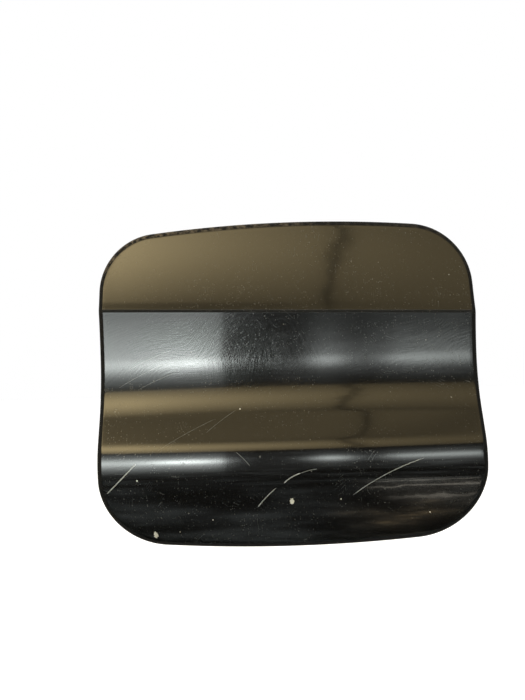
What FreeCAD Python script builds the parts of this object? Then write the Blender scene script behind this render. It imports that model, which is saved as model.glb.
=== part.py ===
"""Fuel filler flap: a sculpted gloss panel on an inner carrier, hung on a sprung side hinge.

Axes while modelling: X to the right along the flap, Y into the car, Z up, with the flap's
middle at the start. Every sub-part is then set back so that the frame starts at the middle
of the two hinge bracket bolts, on the bracket's back face. All lengths are millimetres and
all angles degrees.
"""
import FreeCAD, Part
import math
import os

import Sketcher

Vector = FreeCAD.Vector
doc = FreeCAD.newDocument("fuel_flap")

# Blanks reach past the outline by these shares of the flap, before they are cut to it
BLOCK_SHARE = 0.6
PRISM_SHARE = 0.9
# Limits for picking edges: a distance, and how closely an edge keeps to a direction
NEAR = 0.001
STRAIGHT = 0.99
ALONG_EDGE = 0.95

# Driving dimensions
sheet = doc.addObject("Spreadsheet::Sheet", "Sizes")
SIZES = {
    # Outline of the panel, seen from outside
    "flap_width": 165.5,
    "flap_height": 142.8,
    "top_edge_radius": 608.0,
    "top_apex_shift": 6.4,
    "bottom_edge_radius": 680.0,
    "bottom_apex_shift": -1.8,
    "corner_top_left": 25.8,
    "corner_top_right": 27.8,
    "corner_bottom_left": 29.8,
    "corner_bottom_right": 30.9,
    # Contour of the outer face, from the upper face down to the lower face
    "crease_height": 30.5,
    "crease_tilt": 1.7,
    "crease_radius": 2.6,
    "upper_face_radius": 230.0,
    "angle_above_crease": 17.5,
    "angle_below_crease": 5.5,
    "valley_height": 12.2,
    "scoop_radius": 65.7,
    "flank_angle": 23.5,
    "flank_length": 10.6,
    "ridge_radius": 28.3,
    "angle_below_ridge": 15.0,
    "lower_face_radius": 290.0,
    "bow_radius": 2200.0,
    # Panel moulding
    "panel_wall": 2.5,
    "skirt_depth": 8.0,
    "edge_roll": 2.5,
    # Inner carrier moulding
    "bond_line": 0.2,
    "carrier_clearance": 0.4,
    "carrier_wall": 2.4,
    "rib_height": 2.8,
    "rib_thickness": 1.8,
    "rib_pitch_across": 33.0,
    "rib_pitch_up": 29.0,
    "boss_rise": 6.0,
    "boss_wall": 2.0,
    "screw_boss_radius": 4.5,
    # Hinge axis and arm
    "pivot_across": 58.0,
    "pivot_depth": 26.0,
    "arm_seat_depth": 13.0,
    "arm_thickness": 4.0,
    "arm_foot_start": -6.0,
    "arm_foot_length": 40.0,
    "arm_width": 36.0,
    "arm_link_start": 8.0,
    "arm_link_half": 5.0,
    "arm_corner": 6.0,
    "arm_window_length": 22.0,
    "arm_window_height": 11.0,
    "arm_window_corner": 3.0,
    "knuckle_radius": 7.0,
    "knuckle_gap": 13.0,
    "knuckle_slot_length": 15.0,
    "pin_radius": 3.0,
    "pin_clearance": 0.05,
    "bush_wall": 1.2,
    "bush_flange_radius": 6.0,
    "bush_flange_thickness": 1.0,
    "press_clearance": 0.02,
    "end_float": 0.3,
    # Hinge bracket
    "bracket_thickness": 2.5,
    "bracket_depth": 41.0,
    "bracket_left": 20.0,
    "bracket_overhang": 9.0,
    "bolt_across": 29.0,
    "bolt_spacing": 26.0,
    "bolt_hole_radius": 2.75,
    "bracket_corner": 6.0,
    "bend_radius": 2.0,
    # Pin ends
    "pin_head_radius": 5.0,
    "pin_head_height": 2.0,
    "pin_tail": 3.2,
    "clip_thickness": 0.8,
    "clip_outer_radius": 5.4,
    "clip_groove_radius": 2.3,
    # Torsion spring
    "spring_wire": 1.4,
    "spring_mean_radius": 5.2,
    "spring_turns": 5.25,
    "spring_rise": 8.5,
    "spring_leg_in_arm": 5.0,
    "spring_clearance": 0.3,
    # Arm screws
    "screw_radius": 1.9,
    "screw_length": 8.0,
    "screw_head_radius": 3.7,
    "screw_head_height": 2.4,
    "screw_clearance": 0.2,
    "arm_screw_across": 18.0,
    "arm_screw_inset_up": 6.0,
    "arm_screw_inset": 7.0,
    # Latch striker
    "striker_inset": 20.75,
    "striker_thickness": 2.0,
    "striker_width": 14.0,
    "striker_height": 40.0,
    "striker_tongue_height": 16.0,
    "striker_reach": 15.0,
    "striker_eye_radius": 4.0,
    "striker_corner": 4.0,
    "striker_tip_corner": 5.0,
    "striker_screw_spacing": 30.0,
    # Rubber bump stops
    "stop_inset_across": 20.75,
    "stop_inset_up": 26.4,
    "stop_radius": 5.5,
    "stop_height": 6.0,
    "stop_shoulder_height": 3.6,
    "stop_tip_radius": 3.3,
    "stop_stem_radius": 2.0,
    "stop_stem_length": 4.0,
    "stop_boss_radius": 6.5,
}
for row, (alias, value) in enumerate(SIZES.items(), start=1):
    sheet.set(f"A{row}", alias)
    sheet.set(f"B{row}", str(value))
    sheet.setAlias(f"B{row}", alias)
doc.recompute()


def size(alias):
    """Return one driving dimension from the sheet as a number."""
    return float(sheet.get(alias))


def feature(kind, name, **links):
    """Add a document object and set its link properties."""
    made = doc.addObject(kind, name)
    for link, target in links.items():
        setattr(made, link, target)
    return made


def solid(name, shape):
    """Keep a shape as a document object."""
    made = doc.addObject("Part::Feature", name)
    made.Shape = shape
    return made


def bind(target, **expressions):
    """Bind properties of an object to the sheet, with dots in a property written as two underscores."""
    for prop, expression in expressions.items():
        target.setExpression(prop.replace("__", "."), expression)
    return target


# Sculpted outer face
def face_point(depth_angle_deg, radius, start, end_angle_deg, bulge):
    """Return where an arc ends that starts at (height, rise) and turns between two face angles."""
    first = math.radians(depth_angle_deg)
    last = math.radians(end_angle_deg)
    sign = -1.0 if bulge else 1.0
    height = start[0] - sign * radius * (math.sin(last) - math.sin(first))
    rise = start[1] + sign * radius * (math.cos(first) - math.cos(last))
    return height, rise


def contour(across):
    """Return the face's runs at one place across the flap, as (start, end, start angle, end angle).

    A point is (height, rise towards the outside). A face angle is positive where the face
    looks up. Runs go downwards from above the top edge to below the bottom edge.
    """
    reach = size("flap_height")
    crease = size("crease_height") - across * math.tan(math.radians(size("crease_tilt")))
    above = size("angle_above_crease")
    below = -size("angle_below_crease")
    flank = size("flank_angle")
    under = -size("angle_below_ridge")
    valley = (size("valley_height"), 0.0)

    roll_radius = size("crease_radius")
    entry = (crease - valley[0]) / math.sin(-math.radians(below))
    crease_low = (crease, entry * (1.0 - math.cos(math.radians(below))))
    drop = roll_radius * (math.sin(math.radians(above)) - math.sin(math.radians(below)))
    lift = roll_radius * (math.cos(math.radians(below)) - math.cos(math.radians(above)))
    crease_high = (crease_low[0] + drop, crease_low[1] - lift)
    upper = size("upper_face_radius")
    top_sine = math.sin(math.radians(above)) - (reach - crease_high[0]) / upper
    top_angle = math.degrees(math.asin(top_sine))
    top_rise = upper * (math.cos(math.radians(top_angle)) - math.cos(math.radians(above)))
    top = (reach, crease_high[1] - top_rise)

    flank_top = face_point(0.0, size("scoop_radius"), valley, flank, False)
    run = size("flank_length")
    flank_low = (
        flank_top[0] - run * math.cos(math.radians(flank)),
        flank_top[1] + run * math.sin(math.radians(flank)),
    )
    ridge_low = face_point(flank, size("ridge_radius"), flank_low, under, True)
    lower = size("lower_face_radius")
    end_sine = math.sin(math.radians(under)) - (ridge_low[0] + reach) / lower
    end_angle = math.degrees(math.asin(end_sine))
    bottom = face_point(under, lower, ridge_low, end_angle, True)
    return [
        (top, crease_high, top_angle, above),
        (crease_high, crease_low, above, below),
        (crease_low, valley, below, 0.0),
        (valley, flank_top, 0.0, flank),
        (flank_top, flank_low, flank, flank),
        (flank_low, ridge_low, flank, under),
        (ridge_low, bottom, under, end_angle),
    ]


def arc_middle(start, end, start_angle, end_angle):
    """Return the middle point of an arc given its ends and face angles."""
    turn = math.radians(end_angle - start_angle)
    chord = (end[0] - start[0], end[1] - start[1])
    length = math.hypot(chord[0], chord[1])
    sagitta = 0.5 * length * math.tan(turn / 4.0)
    across = (chord[1] / length, -chord[0] / length)
    middle = (0.5 * (start[0] + end[0]), 0.5 * (start[1] + end[1]))
    return middle[0] - sagitta * across[0], middle[1] - sagitta * across[1]


def section_wire(across, set_back):
    """Return the closed section of the sculpted block at one place across the flap."""
    bow = across * across / (2.0 * size("bow_radius"))
    back = size("flap_height")

    def place(point):
        return Vector(across, set_back + bow - point[1], point[0])

    edges = []
    runs = contour(across)
    for start, end, start_angle, end_angle in runs:
        if start_angle == end_angle:
            edges.append(Part.LineSegment(place(start), place(end)).toShape())
            continue
        middle = arc_middle(start, end, start_angle, end_angle)
        edges.append(Part.Arc(place(start), place(middle), place(end)).toShape())
    low = place(runs[-1][1])
    high = place(runs[0][0])
    low_back = Vector(across, back, low.z)
    high_back = Vector(across, back, high.z)
    edges.append(Part.LineSegment(low, low_back).toShape())
    edges.append(Part.LineSegment(low_back, high_back).toShape())
    edges.append(Part.LineSegment(high_back, high).toShape())
    return Part.Wire(edges)


def sculpted_block(name, set_back):
    """Keep a block whose front is the outer face, set back by a distance along Y."""
    reach = BLOCK_SHARE * size("flap_width")
    wires = [section_wire(across, set_back) for across in (-reach, 0.0, reach)]
    return solid(name, Part.makeLoft(wires, True, False))


# Outline of the flap
def corner_centre(side, apex_shift, edge_radius, rise, corner, half_width):
    """Return the centre of a corner arc that touches a straight side and a long edge arc."""
    across = side * (half_width - corner)
    reach = math.sqrt((edge_radius - corner) ** 2 - (across - apex_shift) ** 2)
    return across, rise - edge_radius + reach


def outline_face(inset):
    """Return the flap's outline as a flat face at Y = 0, drawn in by an inset."""
    half = size("flap_width") / 2.0 - inset
    rise = size("flap_height") / 2.0 - inset
    edges = []
    loop = []
    for upward, label in ((1.0, "top"), (-1.0, "bottom")):
        radius = size(label + "_edge_radius") - inset
        shift = size(label + "_apex_shift")
        hub = (shift, rise - radius)
        corners = []
        for side, hand in ((-1.0, "left"), (1.0, "right")):
            corner = size("corner_" + label + "_" + hand) - inset
            centre = corner_centre(side, shift, radius, rise, corner, half)
            lean = math.atan2(centre[0] - hub[0], centre[1] - hub[1])
            on_edge = (hub[0] + radius * math.sin(lean), hub[1] + radius * math.cos(lean))
            bisect = (lean + side * math.pi / 2.0) / 2.0
            middle = (centre[0] + corner * math.sin(bisect), centre[1] + corner * math.cos(bisect))
            on_side = (side * half, centre[1])
            corners.append([Vector(p[0], 0.0, upward * p[1]) for p in (on_side, middle, on_edge)])
        apex = Vector(hub[0], 0.0, upward * rise)
        loop.append((corners, apex))
    for corners, apex in loop:
        left, right = corners
        edges.append(Part.Arc(*left).toShape())
        edges.append(Part.Arc(left[2], apex, right[2]).toShape())
        edges.append(Part.Arc(*right).toShape())
    (top_left, top_right), _ = loop[0]
    (low_left, low_right), _ = loop[1]
    edges.append(Part.LineSegment(top_left[0], low_left[0]).toShape())
    edges.append(Part.LineSegment(top_right[0], low_right[0]).toShape())
    return Part.Face(Part.Wire(Part.__sortEdges__(edges)))


def outline_prism(name, inset):
    """Keep a prism of the flap's outline that passes right through the sculpted block."""
    reach = PRISM_SHARE * size("flap_height")
    face = outline_face(inset)
    face.translate(Vector(0.0, -reach, 0.0))
    return solid(name, face.extrude(Vector(0.0, 2.0 * reach, 0.0)))


def face_depth(across, height):
    """Return the Y of the outer face at one place on the flap."""
    bow = across * across / (2.0 * size("bow_radius"))
    for start, end, start_angle, end_angle in contour(across):
        if not end[0] <= height <= start[0]:
            continue
        if start_angle == end_angle:
            share = (start[0] - height) / (start[0] - end[0])
            return bow - start[1] - share * (end[1] - start[1])
        first = math.sin(math.radians(start_angle))
        last = math.sin(math.radians(end_angle))
        radius = (start[0] - end[0]) / (last - first)
        angle = math.asin(first + (start[0] - height) / radius)
        return bow - start[1] - radius * (math.cos(math.radians(start_angle)) - math.cos(angle))
    raise ValueError("height lies outside the flap")


# Helpers for sketched bodies

def seat(target, label, across="0", depth="0", height="0", turn=None):
    """Name a sub-part and place it, measured from the flap's middle, in the bracket's frame."""
    target.Label = label
    if turn is not None:
        target.Placement = FreeCAD.Placement(Vector(0, 0, 0), turn)
    target.setExpression("Placement.Base.x", f"{across} - Sizes.bolt_across")
    target.setExpression("Placement.Base.y", f"{depth} - Sizes.bracket_depth")
    target.setExpression("Placement.Base.z", height)
    return target


def sketch_on(body, role, name, offset="0"):
    """Add a sketch on one of the body's own origin planes, moved along the plane's normal."""
    made = body.newObject("Sketcher::SketchObject", name)
    support = [plane for plane in body.Origin.OriginFeatures if plane.Role == role]
    made.AttachmentSupport = [(support[0], "")]
    made.MapMode = "FlatFace"
    made.setExpression("AttachmentOffset.Base.z", offset)
    return made


def draw_polygon(sketch, corners):
    """Draw a closed polygon whose corners are bound to pairs of expressions."""
    count = len(corners)
    first = sketch.GeometryCount
    ring = []
    for turn in range(count):
        angle = 2.0 * math.pi * turn / count
        ring.append(Vector(10.0 * math.cos(angle), 10.0 * math.sin(angle), 0.0))
    for turn in range(count):
        sketch.addGeometry(Part.LineSegment(ring[turn], ring[(turn + 1) % count]))
    for turn in range(count):
        following = first + (turn + 1) % count
        sketch.addConstraint(Sketcher.Constraint("Coincident", first + turn, 2, following, 1))
    for turn, (along, up) in enumerate(corners):
        for axis, text, value in (("DistanceX", along, ring[turn].x), ("DistanceY", up, ring[turn].y)):
            rule = sketch.addConstraint(Sketcher.Constraint(axis, -1, 1, first + turn, 1, value))
            sketch.setExpression(f"Constraints[{rule}]", text)


def draw_box(sketch, left, low, right, high):
    """Draw a rectangle between two bound corners."""
    draw_polygon(sketch, [(left, low), (right, low), (right, high), (left, high)])


def draw_circle(sketch, along, up, radius):
    """Draw a circle whose centre and radius are bound to expressions."""
    circle = sketch.addGeometry(Part.Circle(Vector(1.0, 1.0, 0.0), Vector(0, 0, 1), 1.0))
    for axis, text in (("DistanceX", along), ("DistanceY", up)):
        rule = sketch.addConstraint(Sketcher.Constraint(axis, -1, 1, circle, 3, 1.0))
        sketch.setExpression(f"Constraints[{rule}]", text)
    rule = sketch.addConstraint(Sketcher.Constraint("Radius", circle, 1.0))
    sketch.setExpression(f"Constraints[{rule}]", radius)


def pad(body, sketch, name, length):
    """Pad a sketch along its plane's normal by a bound length."""
    made = body.newObject("PartDesign::Pad", name)
    made.Profile = sketch
    made.setExpression("Length", length)
    return made


def pocket(body, sketch, name, length):
    """Cut a sketch against its plane's normal by a bound length, and see that it removes metal."""
    doc.recompute()
    before = body.Shape.Volume
    made = body.newObject("PartDesign::Pocket", name)
    made.Profile = sketch
    made.setExpression("Length", length)
    doc.recompute()
    if not body.Shape.Volume < before:
        raise ValueError(f"{name} cuts nothing")
    return made


def round_edges(body, name, radius, wanted):
    """Fillet the edges of a body's latest feature whose middle and direction pass a test."""
    doc.recompute()
    latest = body.Tip
    found = []
    for number, edge in enumerate(latest.Shape.Edges, start=1):
        halfway = 0.5 * (edge.FirstParameter + edge.LastParameter)
        if wanted(edge.valueAt(halfway), edge.tangentAt(halfway)):
            found.append(f"Edge{number}")
    if not found:
        raise ValueError(f"{name} finds no edge")
    made = body.newObject("PartDesign::Fillet", name)
    made.Base = (latest, found)
    made.setExpression("Radius", radius)
    return made


def turned(name, corners):
    """Make a body by turning a half section, given as (radius, height) pairs, about Z."""
    body = doc.addObject("PartDesign::Body", name)
    half = sketch_on(body, "XZ_Plane", name + "_half_section")
    draw_polygon(half, corners)
    spin = body.newObject("PartDesign::Revolution", name + "_turn")
    spin.Profile = half
    spin.ReferenceAxis = (half, ["V_Axis"])
    spin.Angle = 360.0
    return body


def cylinder(name, radius, length, across, depth, height, along_depth=False):
    """Make a bound cylinder along Z, or along Y into the car."""
    made = doc.addObject("Part::Cylinder", name)
    if along_depth:
        made.Placement = FreeCAD.Placement(Vector(0, 0, 0), FreeCAD.Rotation(Vector(1, 0, 0), -90))
    bind(made, Radius=radius, Height=length)
    bind(made, Placement__Base__x=across, Placement__Base__y=depth, Placement__Base__z=height)
    return made


def block(name, across, depth, height, width, length, rise):
    """Make a bound box from its low corner and its sizes along X, Y and Z."""
    made = doc.addObject("Part::Box", name)
    bind(made, Length=width, Width=length, Height=rise)
    bind(made, Placement__Base__x=across, Placement__Base__y=depth, Placement__Base__z=height)
    return made


# Outer panel
def rim_edges(blank, outline):
    """Return the numbers of the edges where the outer face meets the outline."""
    wall = outline.Shape.Shells[0]
    found = []
    for number, edge in enumerate(blank.Shape.Edges, start=1):
        halfway = 0.5 * (edge.FirstParameter + edge.LastParameter)
        middle = edge.valueAt(halfway)
        runs_back = abs(edge.tangentAt(halfway).y) > ALONG_EDGE
        if runs_back or middle.y > 0.5 * size("flap_height"):
            continue
        if wall.distToShape(Part.Vertex(middle))[0] < NEAR:
            found.append(number)
    return found


def outer_panel():
    """Build the painted panel: a sculpted skin with a rolled edge and a short skirt."""
    outline = outline_prism("panel_outline", 0.0)
    blank = feature("Part::Common", "panel_blank", Base=sculpted_block("panel_face", 0.0), Tool=outline)
    doc.recompute()
    rolled = feature("Part::Fillet", "panel_rolled", Base=blank)
    rolled.Edges = [(number, size("edge_roll"), size("edge_roll")) for number in rim_edges(blank, outline)]
    skirt_end = sculpted_block("panel_skirt_end", size("skirt_depth"))
    rind = feature("Part::Cut", "panel_rind", Base=rolled, Tool=skirt_end)
    inside = sculpted_block("panel_inside", size("panel_wall"))
    cavity = outline_prism("panel_cavity", size("panel_wall"))
    core = feature("Part::Common", "panel_core", Base=inside, Tool=cavity)
    return seat(feature("Part::Cut", "outer_panel", Base=rind, Tool=core), "outer_panel")


# Inner carrier
CARRIER_BACK = "(Sizes.panel_wall + Sizes.bond_line + Sizes.carrier_wall)"
STRIKER_SEAT = f"({CARRIER_BACK} + Sizes.boss_rise)"
STRIKER_ACROSS = "(Sizes.striker_inset - Sizes.flap_width / 2)"
STOP_ACROSS = "(Sizes.flap_width / 2 - Sizes.stop_inset_across)"
STOP_UP = "(Sizes.flap_height / 2 - Sizes.stop_inset_up)"
ARM_HALF = "(Sizes.arm_width / 2)"
ARM_FOOT_END = "(Sizes.arm_foot_start + Sizes.arm_foot_length)"
ARM_SCREWS = [
    (f"(Sizes.arm_foot_start + Sizes.arm_screw_inset + {step} * Sizes.arm_screw_across)",
     f"({side} * ({ARM_HALF} - Sizes.arm_screw_inset_up))")
    for step in (0, 1)
    for side in (-1, 1)
]
STRIKER_SCREWS = [
    (STRIKER_ACROSS, f"({side} * Sizes.striker_screw_spacing / 2)") for side in (-1, 1)
]
STOPS = {
    "bump_stop_upper_left": (-1, 1),
    "bump_stop_lower_left": (-1, -1),
    "bump_stop_upper_right": (1, 1),
    "bump_stop_lower_right": (1, -1),
}


def stop_seat(side, upward):
    """Return the Y of the flat boss that carries one bump stop."""
    across = side * (size("flap_width") / 2.0 - size("stop_inset_across"))
    height = upward * (size("flap_height") / 2.0 - size("stop_inset_up"))
    surface = face_depth(across, height)
    stack = size("panel_wall") + size("bond_line") + size("carrier_wall")
    return surface + stack + size("boss_rise")


def carrier_ribs(outline, inset):
    """Build the carrier's grid of ribs and the flange round its edge."""
    pieces = []
    reach = "Sizes.flap_width"
    for step in range(-2, 3):
        across = f"({step} * Sizes.rib_pitch_across - Sizes.rib_thickness / 2)"
        pieces.append(block(f"rib_up_{step + 2}", across, f"-{reach}", f"-{reach}",
                            "Sizes.rib_thickness", f"2 * {reach}", f"2 * {reach}"))
        height = f"({step} * Sizes.rib_pitch_up - Sizes.rib_thickness / 2)"
        pieces.append(block(f"rib_across_{step + 2}", f"-{reach}", f"-{reach}", height,
                            f"2 * {reach}", f"2 * {reach}", "Sizes.rib_thickness"))
    inner = outline_prism("carrier_flange_inside", inset + size("rib_thickness"))
    pieces.append(feature("Part::Cut", "carrier_flange", Base=outline, Tool=inner))
    grid = feature("Part::MultiFuse", "carrier_grid", Shapes=pieces)
    return grid


def boss_frame(name, left, low, width, rise, seat_depth):
    """Build an open box of walls that ends flat at a seat, for a piece screwed to the carrier."""
    reach = "Sizes.flap_height"
    outer = block(name + "_outside", left, f"-{reach}", low, width, f"{reach} + {seat_depth}", rise)
    inner = block(name + "_inside", f"{left} + Sizes.boss_wall", f"-2 * {reach}", f"{low} + Sizes.boss_wall",
                  f"{width} - 2 * Sizes.boss_wall", f"4 * {reach}", f"{rise} - 2 * Sizes.boss_wall")
    return feature("Part::Cut", name, Base=outer, Tool=inner)


def inner_carrier():
    """Build the moulded carrier behind the panel, with ribs, bosses and screw holes."""
    front_set_back = size("panel_wall") + size("bond_line")
    back_set_back = front_set_back + size("carrier_wall")
    inset = size("panel_wall") + size("carrier_clearance")
    outline = outline_prism("carrier_outline", inset)
    front = sculpted_block("carrier_front", front_set_back)
    filled = feature("Part::Common", "carrier_filled", Base=outline, Tool=front)
    back = sculpted_block("carrier_back", back_set_back)
    tips = sculpted_block("carrier_rib_tips", back_set_back + size("rib_height"))
    slab = feature("Part::Cut", "carrier_slab", Base=filled, Tool=back)
    grid = carrier_ribs(outline, inset)
    ribs_through = feature("Part::Common", "carrier_ribs_through", Base=filled, Tool=grid)
    ribs = feature("Part::Cut", "carrier_ribs", Base=ribs_through, Tool=tips)

    reach = "Sizes.flap_height"
    risers = [
        boss_frame("arm_frame", "Sizes.arm_foot_start", f"-{ARM_HALF}", "Sizes.arm_foot_length",
                   "Sizes.arm_width", "Sizes.arm_seat_depth"),
        boss_frame("striker_frame", f"{STRIKER_ACROSS} - Sizes.striker_width / 2",
                   "-Sizes.striker_height / 2", "Sizes.striker_width", "Sizes.striker_height", STRIKER_SEAT),
    ]
    holes = []
    screw_seats = [(place, "Sizes.arm_seat_depth", "Sizes.arm_thickness") for place in ARM_SCREWS]
    screw_seats += [(place, STRIKER_SEAT, "Sizes.striker_thickness") for place in STRIKER_SCREWS]
    for number, ((across, height), level, plate) in enumerate(screw_seats):
        risers.append(cylinder(f"screw_boss_{number}", "Sizes.screw_boss_radius", f"{reach} + {level}",
                               across, f"-{reach}", height, along_depth=True))
        depth = f"{level} + {plate} - Sizes.screw_length - Sizes.screw_clearance"
        holes.append(cylinder(f"screw_hole_{number}", "Sizes.screw_radius + Sizes.press_clearance",
                              "2 * Sizes.screw_length", across, depth, height, along_depth=True))
    for name, (side, upward) in STOPS.items():
        across = f"{side} * {STOP_ACROSS}"
        height = f"{upward} * {STOP_UP}"
        level = stop_seat(side, upward)
        risers.append(cylinder(name + "_boss", "Sizes.stop_boss_radius", f"{reach} + {level}",
                               across, f"-{reach}", height, along_depth=True))
        holes.append(cylinder(name + "_hole", "Sizes.stop_stem_radius + Sizes.press_clearance",
                              "2 * Sizes.stop_stem_length", across,
                              f"{level} - Sizes.stop_stem_length", height, along_depth=True))
    risen = feature("Part::MultiFuse", "carrier_risers", Shapes=risers)
    trimmed = feature("Part::Common", "carrier_risers_trimmed", Base=risen, Tool=filled)
    whole = feature("Part::MultiFuse", "carrier_whole", Shapes=[slab, ribs, trimmed])
    drilled = feature("Part::MultiFuse", "carrier_holes", Shapes=holes)
    return seat(feature("Part::Cut", "inner_carrier", Base=whole, Tool=drilled), "inner_carrier")


# Hinge
EAR_INSIDE = f"({ARM_HALF} + Sizes.bush_flange_thickness + Sizes.end_float)"
EAR_OUTSIDE = f"({EAR_INSIDE} + Sizes.bracket_thickness)"
BUSH_RADIUS = "(Sizes.pin_radius + Sizes.pin_clearance + Sizes.bush_wall)"
PLATE_FRONT = "(Sizes.bracket_depth - Sizes.bracket_thickness)"
SPRING_SLOPE = "(Sizes.spring_rise / (2 * pi * Sizes.spring_mean_radius * Sizes.spring_turns))"


def hinge_arm():
    """Build the arm: a screwed foot, a link and a knuckle split for the spring."""
    body = doc.addObject("PartDesign::Body", "hinge_arm")
    foot = sketch_on(body, "XY_Plane", "arm_foot_plan", f"-{ARM_HALF}")
    draw_box(foot, "Sizes.arm_foot_start", "Sizes.arm_seat_depth", ARM_FOOT_END,
             "Sizes.arm_seat_depth + Sizes.arm_thickness")
    pad(body, foot, "arm_foot", "Sizes.arm_width")
    link = sketch_on(body, "XY_Plane", "arm_link_plan", f"-{ARM_HALF}")
    draw_polygon(link, [
        (ARM_FOOT_END, "Sizes.arm_seat_depth"),
        ("Sizes.pivot_across", "Sizes.pivot_depth - Sizes.arm_link_half"),
        ("Sizes.pivot_across", "Sizes.pivot_depth + Sizes.arm_link_half"),
        (f"{ARM_FOOT_END} - Sizes.arm_link_start", "Sizes.arm_seat_depth + Sizes.arm_thickness"),
        (f"{ARM_FOOT_END} - Sizes.arm_link_start", "Sizes.arm_seat_depth"),
    ])
    pad(body, link, "arm_link", "Sizes.arm_width")
    knuckle = sketch_on(body, "XY_Plane", "arm_knuckle_plan", f"-{ARM_HALF}")
    draw_circle(knuckle, "Sizes.pivot_across", "Sizes.pivot_depth", "Sizes.knuckle_radius")
    pad(body, knuckle, "arm_knuckle", "Sizes.arm_width")
    slot = sketch_on(body, "XY_Plane", "arm_slot_plan", "Sizes.knuckle_gap / 2")
    draw_box(slot, "Sizes.pivot_across - Sizes.knuckle_slot_length",
             "Sizes.pivot_depth - 2 * Sizes.knuckle_radius",
             "Sizes.pivot_across + 2 * Sizes.knuckle_radius",
             "Sizes.pivot_depth + 2 * Sizes.knuckle_radius")
    pocket(body, slot, "arm_slot", "Sizes.knuckle_gap")
    bore = sketch_on(body, "XY_Plane", "arm_bore_plan", f"{ARM_HALF}")
    draw_circle(bore, "Sizes.pivot_across", "Sizes.pivot_depth", f"{BUSH_RADIUS} + Sizes.press_clearance")
    pocket(body, bore, "arm_bore", "Sizes.arm_width")
    holes = sketch_on(body, "XZ_Plane", "arm_hole_plan", "-Sizes.arm_seat_depth + Sizes.arm_thickness")
    for across, height in ARM_SCREWS:
        draw_circle(holes, across, height, "Sizes.screw_radius + Sizes.screw_clearance")
    pocket(body, holes, "arm_holes", "3 * Sizes.arm_thickness")
    window = sketch_on(body, "XZ_Plane", "arm_window_plan", "-Sizes.arm_seat_depth + Sizes.arm_thickness")
    draw_box(window, "Sizes.arm_foot_start + Sizes.arm_screw_inset", "-Sizes.arm_window_height / 2",
             "Sizes.arm_foot_start + Sizes.arm_screw_inset + Sizes.arm_window_length",
             "Sizes.arm_window_height / 2")
    pocket(body, window, "arm_window", "3 * Sizes.arm_thickness")
    leg = sketch_on(body, "YZ_Plane", "arm_leg_plan", "Sizes.pivot_across - Sizes.knuckle_slot_length")
    leg_run = "(Sizes.knuckle_slot_length + Sizes.spring_leg_in_arm / 2)"
    draw_circle(leg, "Sizes.pivot_depth - Sizes.spring_mean_radius",
                f"-Sizes.spring_rise / 2 - {leg_run} * {SPRING_SLOPE}",
                "Sizes.spring_wire / 2 + Sizes.spring_clearance")
    pocket(body, leg, "arm_leg_hole", "Sizes.spring_leg_in_arm + Sizes.spring_clearance")
    foot_end = size("arm_foot_start")
    round_edges(body, "arm_corners", "Sizes.arm_corner",
                lambda at, along: abs(along.y) > STRAIGHT and abs(at.x - foot_end) < NEAR)
    half_window = size("arm_window_height") / 2.0
    round_edges(body, "arm_window_corners", "Sizes.arm_window_corner",
                lambda at, along: abs(along.y) > STRAIGHT and abs(abs(at.z) - half_window) < NEAR)
    return seat(body, "hinge_arm")


def hinge_bracket():
    """Build the folded bracket: a bolted plate with two ears that hold the pin."""
    body = doc.addObject("PartDesign::Body", "hinge_bracket")
    plate = sketch_on(body, "XZ_Plane", "bracket_plate_plan", "-Sizes.bracket_depth")
    draw_box(plate, "Sizes.bracket_left", f"-{EAR_OUTSIDE}",
             "Sizes.pivot_across + Sizes.bracket_overhang", EAR_OUTSIDE)
    pad(body, plate, "bracket_plate", "Sizes.bracket_thickness")
    for name, level in (("upper", EAR_INSIDE), ("lower", f"-{EAR_OUTSIDE}")):
        ear = sketch_on(body, "XY_Plane", f"bracket_{name}_ear_plan", level)
        draw_polygon(ear, [
            ("Sizes.pivot_across - 2 * Sizes.bracket_overhang", "Sizes.bracket_depth"),
            ("Sizes.pivot_across - Sizes.knuckle_radius", "Sizes.pivot_depth"),
            ("Sizes.pivot_across + Sizes.knuckle_radius", "Sizes.pivot_depth"),
            ("Sizes.pivot_across + Sizes.bracket_overhang", "Sizes.bracket_depth"),
        ])
        pad(body, ear, f"bracket_{name}_ear", "Sizes.bracket_thickness")
        nose = sketch_on(body, "XY_Plane", f"bracket_{name}_nose_plan", level)
        draw_circle(nose, "Sizes.pivot_across", "Sizes.pivot_depth", "Sizes.knuckle_radius")
        pad(body, nose, f"bracket_{name}_nose", "Sizes.bracket_thickness")
    eye = sketch_on(body, "XY_Plane", "bracket_eye_plan", EAR_OUTSIDE)
    draw_circle(eye, "Sizes.pivot_across", "Sizes.pivot_depth", "Sizes.pin_radius + Sizes.press_clearance")
    pocket(body, eye, "bracket_eyes", f"2 * {EAR_OUTSIDE}")
    bolts = sketch_on(body, "XZ_Plane", "bracket_bolt_plan", f"-{PLATE_FRONT} + Sizes.bracket_thickness")
    for side in (-1, 1):
        draw_circle(bolts, "Sizes.bolt_across", f"{side} * Sizes.bolt_spacing / 2", "Sizes.bolt_hole_radius")
    pocket(body, bolts, "bracket_bolts", "3 * Sizes.bracket_thickness")
    free_end = size("bracket_left")
    round_edges(body, "bracket_corners", "Sizes.bracket_corner",
                lambda at, along: abs(along.y) > STRAIGHT and abs(at.x - free_end) < NEAR)
    ear_inside = size("arm_width") / 2.0 + size("bush_flange_thickness") + size("end_float")
    plate_front = size("bracket_depth") - size("bracket_thickness")
    round_edges(body, "bracket_inner_bends", "Sizes.bend_radius",
                lambda at, along: abs(along.x) > STRAIGHT and abs(at.y - plate_front) < NEAR
                and abs(abs(at.z) - ear_inside) < NEAR)
    return seat(body, "hinge_bracket")


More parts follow.
